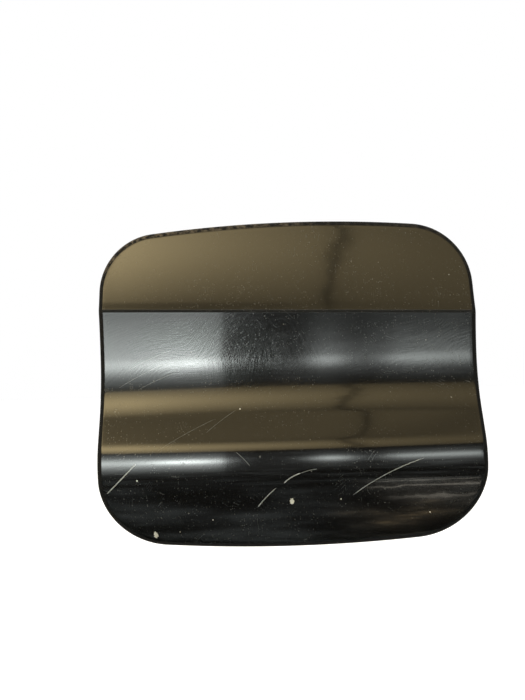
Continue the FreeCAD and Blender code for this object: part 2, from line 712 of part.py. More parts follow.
def hinge_pin():
    """Build the headed pin with a groove for its clip."""
    groove = f"({EAR_OUTSIDE} + Sizes.press_clearance)"
    groove_end = f"({groove} + Sizes.clip_thickness + 2 * Sizes.press_clearance)"
    head = f"({EAR_OUTSIDE} + Sizes.press_clearance)"
    tail = f"({EAR_OUTSIDE} + Sizes.pin_tail)"
    body = turned("hinge_pin", [
        ("0", f"{head} + Sizes.pin_head_height"),
        ("0", f"-{tail}"),
        ("Sizes.pin_radius", f"-{tail}"),
        ("Sizes.pin_radius", f"-{groove_end}"),
        ("Sizes.clip_groove_radius", f"-{groove_end}"),
        ("Sizes.clip_groove_radius", f"-{groove}"),
        ("Sizes.pin_radius", f"-{groove}"),
        ("Sizes.pin_radius", head),
        ("Sizes.pin_head_radius", head),
        ("Sizes.pin_head_radius", f"{head} + Sizes.pin_head_height"),
    ])
    return seat(body, "hinge_pin", "Sizes.pivot_across", "Sizes.pivot_depth")


def pin_clip():
    """Build the open ring that snaps into the pin's groove."""
    disc = cylinder("clip_disc", "Sizes.clip_outer_radius", "Sizes.clip_thickness", "0", "0", "0")
    bore = cylinder("clip_bore", "Sizes.clip_groove_radius + Sizes.press_clearance",
                    "3 * Sizes.clip_thickness", "0", "0", "-Sizes.clip_thickness")
    mouth = block("clip_mouth", "0", "-Sizes.clip_groove_radius", "-Sizes.clip_thickness",
                  "2 * Sizes.clip_outer_radius", "2 * Sizes.clip_groove_radius", "3 * Sizes.clip_thickness")
    opened = feature("Part::MultiFuse", "clip_opening", Shapes=[bore, mouth])
    ring = feature("Part::Cut", "pin_clip", Base=disc, Tool=opened)
    level = f"-{EAR_OUTSIDE} - 2 * Sizes.press_clearance - Sizes.clip_thickness"
    return seat(ring, "pin_clip", "Sizes.pivot_across", "Sizes.pivot_depth", level)


def hinge_bush(label, upward):
    """Build one flanged bush that lines half of the arm's knuckle."""
    inside = "(Sizes.pin_radius + Sizes.pin_clearance)"
    flange = f"({ARM_HALF} + Sizes.bush_flange_thickness)"
    body = turned(label, [
        (inside, f"{upward} * Sizes.knuckle_gap / 2"),
        (inside, f"{upward} * {flange}"),
        ("Sizes.bush_flange_radius", f"{upward} * {flange}"),
        ("Sizes.bush_flange_radius", f"{upward} * {ARM_HALF}"),
        (BUSH_RADIUS, f"{upward} * {ARM_HALF}"),
        (BUSH_RADIUS, f"{upward} * Sizes.knuckle_gap / 2"),
    ])
    return seat(body, label, "Sizes.pivot_across", "Sizes.pivot_depth")


def return_spring():
    """Build the torsion spring: a coil on the pin, one leg in the arm and one on the plate."""
    radius = size("spring_mean_radius")
    rise = size("spring_rise")
    turns = size("spring_turns")
    slope = rise / (2.0 * math.pi * radius * turns)
    low = Vector(0.0, -radius, -rise / 2.0)
    high = Vector(radius, 0.0, rise / 2.0)
    leg_in = size("knuckle_slot_length") + size("spring_leg_in_arm")
    leg_out = size("bracket_depth") - size("bracket_thickness") - size("pivot_depth") - size("spring_clearance")
    start = low - Vector(1.0, 0.0, slope) * leg_in
    end = high + Vector(0.0, 1.0, slope) * leg_out
    coil = Part.makeHelix(rise / turns, rise, radius)
    coil.rotate(Vector(0, 0, 0), Vector(0, 0, 1), -90.0)
    coil.translate(Vector(0.0, 0.0, -rise / 2.0))
    path = Part.Wire([Part.makeLine(start, low)] + coil.Edges + [Part.makeLine(high, end)])
    ring = Part.Wire([Part.makeCircle(size("spring_wire") / 2.0, start, Vector(1.0, 0.0, slope))])
    spring = solid("return_spring", path.makePipeShell([ring], True, True))
    return seat(spring, "return_spring", "Sizes.pivot_across", "Sizes.pivot_depth")


# Fasteners, striker and bump stops
INTO_CAR = FreeCAD.Rotation(Vector(1, 0, 0), -90)


def screw(label, across, height, level):
    """Build one round headed screw, driven towards the outside with its head at a given depth."""
    body = turned(label, [
        ("0", "-Sizes.screw_length"),
        ("Sizes.screw_radius", "-Sizes.screw_length"),
        ("Sizes.screw_radius", "0"),
        ("Sizes.screw_head_radius", "0"),
        ("Sizes.screw_head_radius", "Sizes.screw_head_height / 2"),
        ("Sizes.screw_head_radius / 2", "Sizes.screw_head_height"),
        ("0", "Sizes.screw_head_height"),
    ])
    return seat(body, label, across, level, height, INTO_CAR)


def latch_striker():
    """Build the striker: a screwed foot with a tongue and an eye for the lock pin."""
    body = doc.addObject("PartDesign::Body", "latch_striker")
    half = "Sizes.striker_height / 2"
    foot = sketch_on(body, "XZ_Plane", "striker_foot_plan", f"-{STRIKER_SEAT} - Sizes.striker_thickness")
    draw_box(foot, f"{STRIKER_ACROSS} - Sizes.striker_width / 2", f"-{half}",
             f"{STRIKER_ACROSS} + Sizes.striker_width / 2", half)
    pad(body, foot, "striker_foot", "Sizes.striker_thickness")
    tongue = sketch_on(body, "XZ_Plane", "striker_tongue_plan", f"-{STRIKER_SEAT} - Sizes.striker_reach")
    draw_box(tongue, f"{STRIKER_ACROSS} - Sizes.striker_thickness / 2", "-Sizes.striker_tongue_height / 2",
             f"{STRIKER_ACROSS} + Sizes.striker_thickness / 2", "Sizes.striker_tongue_height / 2")
    pad(body, tongue, "striker_tongue", "Sizes.striker_reach")
    eye = sketch_on(body, "YZ_Plane", "striker_eye_plan", f"{STRIKER_ACROSS} + Sizes.striker_thickness")
    draw_circle(eye, f"{STRIKER_SEAT} + Sizes.striker_reach - Sizes.striker_tongue_height / 2", "0",
                "Sizes.striker_eye_radius")
    pocket(body, eye, "striker_eye", "2 * Sizes.striker_thickness")
    holes = sketch_on(body, "XZ_Plane", "striker_hole_plan", f"-{STRIKER_SEAT} + Sizes.striker_thickness")
    for across, height in STRIKER_SCREWS:
        draw_circle(holes, across, height, "Sizes.screw_radius + Sizes.screw_clearance")
    pocket(body, holes, "striker_holes", "3 * Sizes.striker_thickness")
    foot_half = size("striker_height") / 2.0
    round_edges(body, "striker_corners", "Sizes.striker_corner",
                lambda at, along: abs(along.y) > STRAIGHT and abs(abs(at.z) - foot_half) < NEAR)
    tongue_half = size("striker_tongue_height") / 2.0
    top = max(vertex.Y for vertex in body.Shape.Vertexes)
    round_edges(body, "striker_tip", "Sizes.striker_tip_corner",
                lambda at, along: abs(along.x) > STRAIGHT and abs(at.y - top) < NEAR
                and abs(abs(at.z) - tongue_half) < NEAR)
    return seat(body, "latch_striker")


def bump_stop(label, side, upward):
    """Build one rubber stop with a stem pressed into its boss."""
    body = turned(label, [
        ("0", "-Sizes.stop_stem_length"),
        ("Sizes.stop_stem_radius", "-Sizes.stop_stem_length"),
        ("Sizes.stop_stem_radius", "0"),
        ("Sizes.stop_radius", "0"),
        ("Sizes.stop_radius", "Sizes.stop_shoulder_height"),
        ("Sizes.stop_tip_radius", "Sizes.stop_height"),
        ("0", "Sizes.stop_height"),
    ])
    level = f"{stop_seat(side, upward)}"
    return seat(body, label, f"{side} * {STOP_ACROSS}", level, f"{upward} * {STOP_UP}", INTO_CAR)


subparts = [
    outer_panel(),
    inner_carrier(),
    hinge_arm(),
    hinge_bracket(),
    hinge_pin(),
    pin_clip(),
    hinge_bush("hinge_bush_upper", 1),
    hinge_bush("hinge_bush_lower", -1),
    return_spring(),
    latch_striker(),
]
for number, (across, height) in enumerate(ARM_SCREWS, start=1):
    subparts.append(screw(f"arm_screw_{number}", across, height, "Sizes.arm_seat_depth + Sizes.arm_thickness"))
for number, (across, height) in enumerate(STRIKER_SCREWS, start=1):
    subparts.append(screw(f"striker_screw_{number}", across, height, f"{STRIKER_SEAT} + Sizes.striker_thickness"))
for label, (side, upward) in STOPS.items():
    subparts.append(bump_stop(label, side, upward))
doc.recompute()

for item in doc.Objects:
    if {"Invalid", "Error"} & set(item.State):
        raise RuntimeError(f"{item.Name} did not build: {item.State}")
for item in subparts:
    if item.Shape.isNull() or not item.Shape.isValid() or item.Shape.Volume <= 0.0:
        raise RuntimeError(f"{item.Label} has no valid solid")

os.makedirs("parts", exist_ok=True)
for item in subparts:
    item.Shape.exportStep(f"parts/{item.Label}.step")
    print(item.Label, round(item.Shape.Volume, 1), len(item.Shape.Solids))
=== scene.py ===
"""Dress the fuel filler flap: worn gloss paint, moulded plastic, plated steel and rubber.

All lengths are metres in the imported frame: X along the flap, Y into the car, Z up.
"""
import logging
import math
from dataclasses import astuple, dataclass, field
from enum import Enum
from typing import ClassVar

import bpy
from mathutils import Matrix, Vector
from mathutils.geometry import delaunay_2d_cdt


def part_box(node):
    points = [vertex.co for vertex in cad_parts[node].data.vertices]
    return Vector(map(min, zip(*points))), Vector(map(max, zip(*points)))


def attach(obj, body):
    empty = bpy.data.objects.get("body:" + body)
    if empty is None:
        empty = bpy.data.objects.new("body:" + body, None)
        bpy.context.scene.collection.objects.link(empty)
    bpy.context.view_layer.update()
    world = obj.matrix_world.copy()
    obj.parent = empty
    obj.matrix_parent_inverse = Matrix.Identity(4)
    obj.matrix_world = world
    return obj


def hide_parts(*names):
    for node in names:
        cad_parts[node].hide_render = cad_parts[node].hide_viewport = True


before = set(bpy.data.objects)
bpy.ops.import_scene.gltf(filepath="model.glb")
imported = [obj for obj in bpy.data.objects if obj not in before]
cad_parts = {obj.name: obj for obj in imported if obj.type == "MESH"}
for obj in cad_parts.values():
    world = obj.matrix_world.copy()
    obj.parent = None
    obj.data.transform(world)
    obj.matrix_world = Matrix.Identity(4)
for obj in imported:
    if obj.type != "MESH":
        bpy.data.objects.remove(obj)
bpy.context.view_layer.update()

logging.basicConfig(level=logging.INFO, format="%(name)s: %(message)s")
LOG = logging.getLogger("flap")
MM = 0.001
QUARTER_TURN = math.pi / 2.0
NOISE_MEAN = 0.5
ORIGIN = (0.0, 0.0, 0.0)
WHITE = (1.0, 1.0, 1.0, 1.0)
Triple = tuple[float, float, float]
Colour = Triple
Limits = tuple[float, float]
Pixel = tuple[float, float]
FacePoint = tuple[float, float]
Station = tuple[float, float, float, float]
Socket = bpy.types.NodeSocket
Material = bpy.types.Material


class Body(Enum):
    """The rigid body that the new pieces ride on."""

    FLAP = "flap"


class Slot(Enum):
    """The record's material slots."""

    PAINT = "panel_paint"
    SCREW = "screw_steel"
    RUBBER = "stop_rubber"


# Shape of the flap


@dataclass(frozen=True)
class Run:
    """One stretch of the face's contour, from a high point to a low one.

    Points are (height, rise towards the outside). Angles are degrees, positive where the face
    looks up.
    """

    start: FacePoint
    end: FacePoint
    start_angle: float
    end_angle: float

    def radius(self) -> float:
        """Return the arc's radius, positive for a hollow and negative for a crown."""
        turn = math.sin(math.radians(self.end_angle)) - math.sin(math.radians(self.start_angle))
        return (self.start[0] - self.end[0]) / turn

    def height_at(self, share: float) -> float:
        """Return the height at a share of the run.

        Args:
            share: 0 at the start and 1 at the end, by turn on an arc, by length if straight.

        Returns:
            The height.
        """
        if self.start_angle == self.end_angle:
            return self.start[0] + share * (self.end[0] - self.start[0])
        first = math.radians(self.start_angle)
        angle = math.radians(self.start_angle + share * (self.end_angle - self.start_angle))
        return self.start[0] - self.radius() * (math.sin(angle) - math.sin(first))

    def rise(self, height: float) -> float:
        """Return how far the run stands out at a height.

        Args:
            height: A height between the run's ends.

        Returns:
            The rise.
        """
        if self.start_angle == self.end_angle:
            share = (self.start[0] - height) / (self.start[0] - self.end[0])
            return self.start[1] + share * (self.end[1] - self.start[1])
        radius = self.radius()
        first = math.radians(self.start_angle)
        angle = math.asin(math.sin(first) + (self.start[0] - height) / radius)
        return self.start[1] + radius * (math.cos(first) - math.cos(angle))


@dataclass(frozen=True)
class FlapContour:
    """The sculpted outer face: upper face, crease, scoop, flank, ridge and lower face."""

    RIDGE: ClassVar[int] = 5
    crease_height: float = 30.5 * MM
    crease_tilt: float = 1.7
    crease_radius: float = 2.6 * MM
    upper_face_radius: float = 230.0 * MM
    angle_above_crease: float = 17.5
    angle_below_crease: float = 5.5
    valley_height: float = 12.2 * MM
    scoop_radius: float = 65.7 * MM
    flank_angle: float = 23.5
    flank_length: float = 10.6 * MM
    ridge_radius: float = 28.3 * MM
    angle_below_ridge: float = 15.0
    lower_face_radius: float = 290.0 * MM
    bow_radius: float = 2200.0 * MM
    reach: float = 76.0 * MM

    def crease_fall(self) -> float:
        """Return how far the crease falls for each metre to the right."""
        return math.tan(math.radians(self.crease_tilt))

    def runs(self, across: float) -> list[Run]:
        """Return the face's runs, from the top down, at one place across the flap.

        Args:
            across: Distance to the right of the flap's middle.

        Returns:
            Upper face, crease, scoop above and below its valley, flank, ridge and lower face.
        """
        above, below = self.angle_above_crease, -self.angle_below_crease
        flank, under = self.flank_angle, -self.angle_below_ridge
        sine = {angle: math.sin(math.radians(angle)) for angle in (above, below, flank, under)}
        cosine = {angle: math.cos(math.radians(angle)) for angle in (above, below, flank, under)}
        crease = self.crease_height - across * self.crease_fall()
        valley = (self.valley_height, 0.0)
        entry = (crease - valley[0]) / -sine[below]
        crease_low = (crease, entry * (1.0 - cosine[below]))
        crease_high = (
            crease + self.crease_radius * (sine[above] - sine[below]),
            crease_low[1] - self.crease_radius * (cosine[below] - cosine[above]),
        )
        top_angle = math.asin(sine[above] - (self.reach - crease_high[0]) / self.upper_face_radius)
        top_drop = self.upper_face_radius * (math.cos(top_angle) - cosine[above])
        top = (self.reach, crease_high[1] - top_drop)
        flank_top = (
            valley[0] - self.scoop_radius * sine[flank],
            self.scoop_radius * (1.0 - cosine[flank]),
        )
        flank_low = (
            flank_top[0] - self.flank_length * cosine[flank],
            flank_top[1] + self.flank_length * sine[flank],
        )
        ridge_low = (
            flank_low[0] + self.ridge_radius * (sine[under] - sine[flank]),
            flank_low[1] - self.ridge_radius * (cosine[flank] - cosine[under]),
        )
        end_angle = math.asin(sine[under] - (ridge_low[0] + self.reach) / self.lower_face_radius)
        bottom_rise = self.lower_face_radius * (cosine[under] - math.cos(end_angle))
        bottom = (-self.reach, ridge_low[1] - bottom_rise)
        return [
            Run(top, crease_high, math.degrees(top_angle), above),
            Run(crease_high, crease_low, above, below),
            Run(crease_low, valley, below, 0.0),
            Run(valley, flank_top, 0.0, flank),
            Run(flank_top, flank_low, flank, flank),
            Run(flank_low, ridge_low, flank, under),
            Run(ridge_low, bottom, under, math.degrees(end_angle)),
        ]

    def rise(self, across: float, height: float) -> float:
        """Return how far the face stands out at a place on the flap.

        Args:
            across: Distance to the right of the flap's middle.
            height: Height over the flap's middle.

        Returns:
            The rise over the scoop's valley at mid width.
        """
        bow = across * across / (2.0 * self.bow_radius)
        for run in self.runs(across):
            if run.end[0] <= height <= run.start[0]:
                return run.rise(height) - bow
        raise ValueError(f"height {height:.4f} lies outside the flap")

    def crest_rise(self) -> float:
        """Return the rise of the ridge's crest at mid width."""
        ridge = self.runs(0.0)[self.RIDGE]
        return ridge.start[1] + self.ridge_radius * (1.0 - math.cos(math.radians(self.flank_angle)))


@dataclass(frozen=True)
class EdgeArc:
    """An arc of the outline in its upper half: centre, radius and lean where a corner ends."""

    across: float
    height: float
    radius: float
    lean: float = 0.0


@dataclass(frozen=True)
class FlapOutline:
    """The flap's outline: straight sides, long edge arcs and four round corners."""

    width: float
    height: float
    top_edge_radius: float = 608.0 * MM
    top_apex_shift: float = 6.4 * MM
    bottom_edge_radius: float = 680.0 * MM
    bottom_apex_shift: float = -1.8 * MM
    corner_top_left: float = 25.8 * MM
    corner_top_right: float = 27.8 * MM
    corner_bottom_left: float = 29.8 * MM
    corner_bottom_right: float = 30.9 * MM
    spacing: float = 0.9 * MM

    def _edge(self, top: bool) -> EdgeArc:
        """Return a long edge's arc, with the bottom edge mirrored into the upper half.

        Args:
            top: Whether the edge is the top one.

        Returns:
            The arc.
        """
        radius = self.top_edge_radius if top else self.bottom_edge_radius
        apex = self.top_apex_shift if top else self.bottom_apex_shift
        return EdgeArc(apex, self.height / 2.0 - radius, radius)

    def _corner(self, side: int, top: bool) -> EdgeArc:
        """Return a corner's arc, with a bottom corner mirrored into the upper half.

        Args:
            side: -1 for a left corner, 1 for a right one.
            top: Whether the corner is at the top.

        Returns:
            The arc, with the lean from upright at which it meets the long edge.
        """
        edge = self._edge(top)
        radius = {
            (-1, True): self.corner_top_left,
            (1, True): self.corner_top_right,
            (-1, False): self.corner_bottom_left,
            (1, False): self.corner_bottom_right,
        }[(side, top)]
        across = side * (self.width / 2.0 - radius)
        aside = across - edge.across
        climb = math.sqrt((edge.radius - radius) ** 2 - aside ** 2)
        return EdgeArc(across, edge.height + climb, radius, math.atan2(aside, climb))

    def _along_arc(
        self, arc: EdgeArc, inset: float, first: float, last: float, mirror: float
    ) -> list[Station]:
        """Return stations along an arc.

        Args:
            arc: The arc.
            inset: How far the stations lie inside it.
            first: Lean from upright at the first station.
            last: Lean at the end, which the next stretch begins with.
            mirror: 1 for the top, -1 for the bottom.

        Returns:
            The stations.
        """
        steps = max(2, int(abs(last - first) * arc.radius / self.spacing))
        depth = arc.radius - inset
        stations = []
        for step in range(steps):
            lean = first + (last - first) * step / steps
            out_x, out_z = math.sin(lean), mirror * math.cos(lean)
            across = arc.across + depth * out_x
            stations.append((across, mirror * arc.height + depth * out_z, out_x, out_z))
        return stations

    def _along_side(self, across: float, first: float, last: float) -> list[Station]:
        """Return stations along a straight side.

        Args:
            across: The side's place across the flap.
            first: Height of the first station.
            last: Height of the end, which the next stretch begins with.

        Returns:
            The stations.
        """
        steps = max(2, int(abs(last - first) / self.spacing))
        outward = math.copysign(1.0, across)
        return [(across, first + (last - first) * step / steps, outward, 0.0) for step in range(steps)]

    def loop(self, inset: float) -> list[Station]:
        """Return the outline drawn in by an inset, anticlockwise as the photograph shows it.

        Args:
            inset: How far the loop lies inside the outline.

        Returns:
            Stations as (across, height, outward across, outward height).
        """
        half = self.width / 2.0
        right_top, left_top = self._corner(1, True), self._corner(-1, True)
        right_low, left_low = self._corner(1, False), self._corner(-1, False)
        return [
            *self._along_arc(right_top, inset, QUARTER_TURN, right_top.lean, 1.0),
            *self._along_arc(self._edge(True), inset, right_top.lean, left_top.lean, 1.0),
            *self._along_arc(left_top, inset, left_top.lean, -QUARTER_TURN, 1.0),
            *self._along_side(-half + inset, left_top.height, -left_low.height),
            *self._along_arc(left_low, inset, -QUARTER_TURN, left_low.lean, -1.0),
            *self._along_arc(self._edge(False), inset, left_low.lean, right_low.lean, -1.0),
            *self._along_arc(right_low, inset, right_low.lean, QUARTER_TURN, -1.0),
            *self._along_side(half - inset, -right_low.height, right_top.height),
        ]


# Camera


@dataclass(frozen=True)
class PhotoCamera:
    """The camera of the photograph, in its own 525 by 700 frame."""

    centre: Vector
    contour: FlapContour
    frame_width: float = 525.0
    frame_height: float = 700.0
    flap_pixel: Pixel = (289.6, 382.1)
    pixel_size: float = 0.435 * MM
    distance: float = 306.0 * MM
    roll_deg: float = 1.7
    sensor: float = 36.0
    nearest: float = 0.01
    farthest: float = 50.0
    settling_steps: int = 8

    @property
    def focal_pixels(self) -> float:
        """Return the focal length in pixels."""
        return self.distance / self.pixel_size

    def to_flap_axes(self, right: float, up: float) -> FacePoint:
        """Turn picture axes into the flap's own axes.

        Args:
            right: Distance to the right in the picture.
            up: Distance up in the picture.

        Returns:
            Distance across the flap and height.
        """
        turn = math.radians(self.roll_deg)
        across = right * math.cos(turn) + up * math.sin(turn)
        height = up * math.cos(turn) - right * math.sin(turn)
        return across, height

    def offset(self) -> FacePoint:
        """Return the camera's place from the flap's middle.

        Returns:
            Distance across and height.
        """
        right = (self.frame_width / 2.0 - self.flap_pixel[0]) * self.pixel_size
        up = (self.flap_pixel[1] - self.frame_height / 2.0) * self.pixel_size
        return self.to_flap_axes(right, up)

    def on_face(self, pixel: Pixel) -> Triple:
        """Return the place on the outer face that a pixel of the photograph shows.

        Args:
            pixel: Column and row in the photograph.

        Returns:
            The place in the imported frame.
        """
        across, height = self.offset()
        right = pixel[0] - self.frame_width / 2.0
        up = self.frame_height / 2.0 - pixel[1]
        rise = 0.0
        for _ in range(self.settling_steps):
            scale = (self.distance - rise) / self.focal_pixels
            step = self.to_flap_axes(right * scale, up * scale)
            rise = self.contour.rise(across + step[0], height + step[1])
        return tuple(self.centre + Vector((across + step[0], -rise, height + step[1])))

    def build(self) -> None:
        """Make the camera and set it as the scene's own."""
        data = bpy.data.cameras.new("photo_camera")
        data.sensor_fit = "AUTO"
        data.sensor_width = self.sensor
        data.lens = self.focal_pixels / self.frame_height * self.sensor
        data.clip_start = self.nearest
        data.clip_end = self.farthest
        camera = bpy.data.objects.new("photo_camera", data)
        bpy.context.scene.collection.objects.link(camera)
        across, height = self.offset()
        camera.location = self.centre + Vector((across, -self.distance, height))
        upright = Matrix.Rotation(QUARTER_TURN, 3, "X")
        roll = Matrix.Rotation(math.radians(-self.roll_deg), 3, "Z")
        camera.rotation_euler = (upright @ roll).to_euler()
        bpy.context.scene.camera = camera


# Node building


class Net:
    """A thin layer over a node tree that makes short work of nodes and links."""

    INPUT: ClassVar[str] = "in_"
    MIX_COLOURS: ClassVar[tuple[int, int]] = (6, 7)
    MIX_RESULT: ClassVar[int] = 2

    def __init__(self, tree: bpy.types.NodeTree) -> None:
        """Keep the tree that nodes are added to."""
        self.tree = tree

    def node(self, kind: str, **values: object) -> bpy.types.Node:
        """Add a node.

        Args:
            kind: Node type.
            **values: Node properties, or values and links for inputs written as in_NAME.

        Returns:
            The node.
        """
        made = self.tree.nodes.new(kind)
        for key, value in values.items():
            if not key.startswith(self.INPUT):
                setattr(made, key, value)
        for key, value in values.items():
            if key.startswith(self.INPUT):
                name = key.removeprefix(self.INPUT).replace("_", " ")
                self.feed(made.inputs[int(name) if name.isdigit() else name], value)
        return made

    def feed(self, socket: Socket, value: object) -> None:
        """Link or set an input.

        Args:
            socket: The input.
            value: An output to link, or a plain value to set.
        """
        if isinstance(value, Socket):
            self.tree.links.new(value, socket)
        else:
            socket.default_value = value

    def math(self, operation: str, first: object, second: object = 0.0, clamp: bool = False) -> Socket:
        """Return the result of a Math node."""
        made = self.node("ShaderNodeMath", operation=operation, use_clamp=clamp, in_0=first, in_1=second)
        return made.outputs[0]

    def _chain(self, operation: str, parts: tuple[object, ...]) -> Socket:
        """Join values one after another with the same operation.

        Args:
            operation: The Math node's operation.
            parts: Two or more outputs or numbers.

        Returns:
            The joined value.
        """
        joined = parts[0]
        for part in parts[1:]:
            joined = self.math(operation, joined, part)
        return joined

    def add(self, *parts: object) -> Socket:
        """Return the sum of values."""
        return self._chain("ADD", parts)

    def times(self, *parts: object) -> Socket:
        """Return the product of values."""
        return self._chain("MULTIPLY", parts)

    def most(self, *parts: object) -> Socket:
        """Return the largest of values."""
        return self._chain("MAXIMUM", parts)

    def less(self, first: object, second: object) -> Socket:
        """Return the first value less the second."""
        return self.math("SUBTRACT", first, second)

    def over(self, first: object, second: object) -> Socket:
        """Return the first value over the second."""
        return self.math("DIVIDE", first, second)

    def vector(self, operation: str, first: object, second: object = ORIGIN) -> Socket:
        """Return the vector that a Vector Math node gives."""
        made = self.node("ShaderNodeVectorMath", operation=operation, in_0=first, in_1=second)
        return made.outputs["Vector"]

    def measure(self, operation: str, first: object, second: object = ORIGIN) -> Socket:
        """Return the number that a Vector Math node gives."""
        made = self.node("ShaderNodeVectorMath", operation=operation, in_0=first, in_1=second)
        return made.outputs["Value"]

    def scale(self, vector: object, amount: object) -> Socket:
        """Return a vector or a colour times an amount."""
        made = self.node("ShaderNodeVectorMath", operation="SCALE", in_0=vector, in_Scale=amount)
        return made.outputs["Vector"]

    def split(self, vector: Socket) -> bpy.types.bpy_prop_collection:
        """Return a vector's X, Y and Z outputs."""
        return self.node("ShaderNodeSeparateXYZ", in_Vector=vector).outputs

    def join(self, **axes: object) -> Socket:
        """Return a vector made of the axes in_X, in_Y and in_Z."""
        return self.node("ShaderNodeCombineXYZ", **axes).outputs["Vector"]

    def ramp(self, value: object, limits: Limits, start: float = 0.0, end: float = 1.0) -> Socket:
        """Return a smooth step of a value.

        Args:
            value: The value.
            limits: Where the step starts and ends.
            start: The result below the step.
            end: The result above it.

        Returns:
            The stepped value.
        """
        made = self.node("ShaderNodeMapRange", interpolation_type="SMOOTHSTEP", in_Value=value)
        for name, setting in zip(("From Min", "From Max", "To Min", "To Max"), (*limits, start, end)):
            made.inputs[name].default_value = setting
        return made.outputs["Result"]

    def fall(self, value: object, limits: Limits) -> Socket:
        """Return a smooth step down from 1 to 0."""
        return self.ramp(value, limits, 1.0, 0.0)

    def bell(self, value: object, centre: float, width: float) -> Socket:
        """Return a bell curve of a value.

        Args:
            value: The value.
            centre: Where the curve is 1.
            width: How far off it falls to 1 / e.

        Returns:
            The curve's height.
        """
        away = self.over(self.less(value, centre), width)
        return self.math("EXPONENT", self.times(away, away, -1.0))

    def mix(self, share: object, first: object, second: object) -> Socket:
        """Return a mix of two colours.

        Args:
            share: How much of the second colour shows.
            first: The first colour.
            second: The second colour.

        Returns:
            The mixed colour.
        """
        made = self.node("ShaderNodeMix", data_type="RGBA", in_Factor=share)
        for number, colour in zip(self.MIX_COLOURS, (first, second)):
            self.feed(made.inputs[number], (*colour, 1.0) if isinstance(colour, tuple) else colour)
        return made.outputs[self.MIX_RESULT]

    def noise(self, place: Socket, scale: object, detail: float, roughness: float = 0.5) -> bpy.types.Node:
        """Return a Noise Texture node."""
        values = {"in_Vector": place, "in_Scale": scale, "in_Detail": detail, "in_Roughness": roughness}
        return self.node("ShaderNodeTexNoise", **values)

    def bump(self, height: Socket, strength: float, depth: float, normal: Socket | None = None) -> Socket:
        """Return a bumped normal.

        Args:
            height: The bump's height.
            strength: How strongly it shows.
            depth: Its real depth.
            normal: The normal that it goes on, or none for the plain one.

        Returns:
            The normal.
        """
        made = self.node("ShaderNodeBump", in_Height=height, in_Strength=strength, in_Distance=depth)
        if normal is not None:
            self.feed(made.inputs["Normal"], normal)
        return made.outputs["Normal"]

    def use(self, group: bpy.types.NodeTree, **inputs: object) -> dict[str, Socket]:
        """Place a node group with its own values.

        Args:
            group: The group.
            **inputs: Values and links for its inputs.

        Returns:
            The group's outputs by name.
        """
        made = self.node("ShaderNodeGroup")
        made.node_tree = group
        for name, value in inputs.items():
            self.feed(made.inputs[name], value)
        return {socket.name: socket for socket in made.outputs}


def new_group(
    name: str, inputs: dict[str, object], outputs: tuple[str, ...]
) -> tuple[Net, bpy.types.bpy_prop_collection, bpy.types.bpy_prop_collection]:
    """Start a shader node group with named sockets.

    Args:
        name: The group's name.
        inputs: Input names with their default values; a tuple makes a vector input.
        outputs: Names of value outputs.

    Returns:
        The layer over the group's tree, the given inputs and the results to feed.
    """
    tree = bpy.data.node_groups.new(name, "ShaderNodeTree")
    for label, value in inputs.items():
        kind = "NodeSocketVector" if isinstance(value, tuple) else "NodeSocketFloat"
        socket = tree.interface.new_socket(name=label, in_out="INPUT", socket_type=kind)
        socket.default_value = value
    for label in outputs:
        tree.interface.new_socket(name=label, in_out="OUTPUT", socket_type="NodeSocketFloat")
    net = Net(tree)
    return net, net.node("NodeGroupInput").outputs, net.node("NodeGroupOutput").inputs


def new_material(name: str) -> tuple[Material, Net, bpy.types.Node, Socket]:
    """Start a material.

    Args:
        name: The material's name.

    Returns:
        The material, the layer over its tree, its Principled node and Object coordinates.
    """
    material = bpy.data.materials.new(name)
    material.use_nodes = True
    net = Net(material.node_tree)
    surface = material.node_tree.nodes["Principled BSDF"]
    return material, net, surface, net.node("ShaderNodeTexCoord").outputs["Object"]


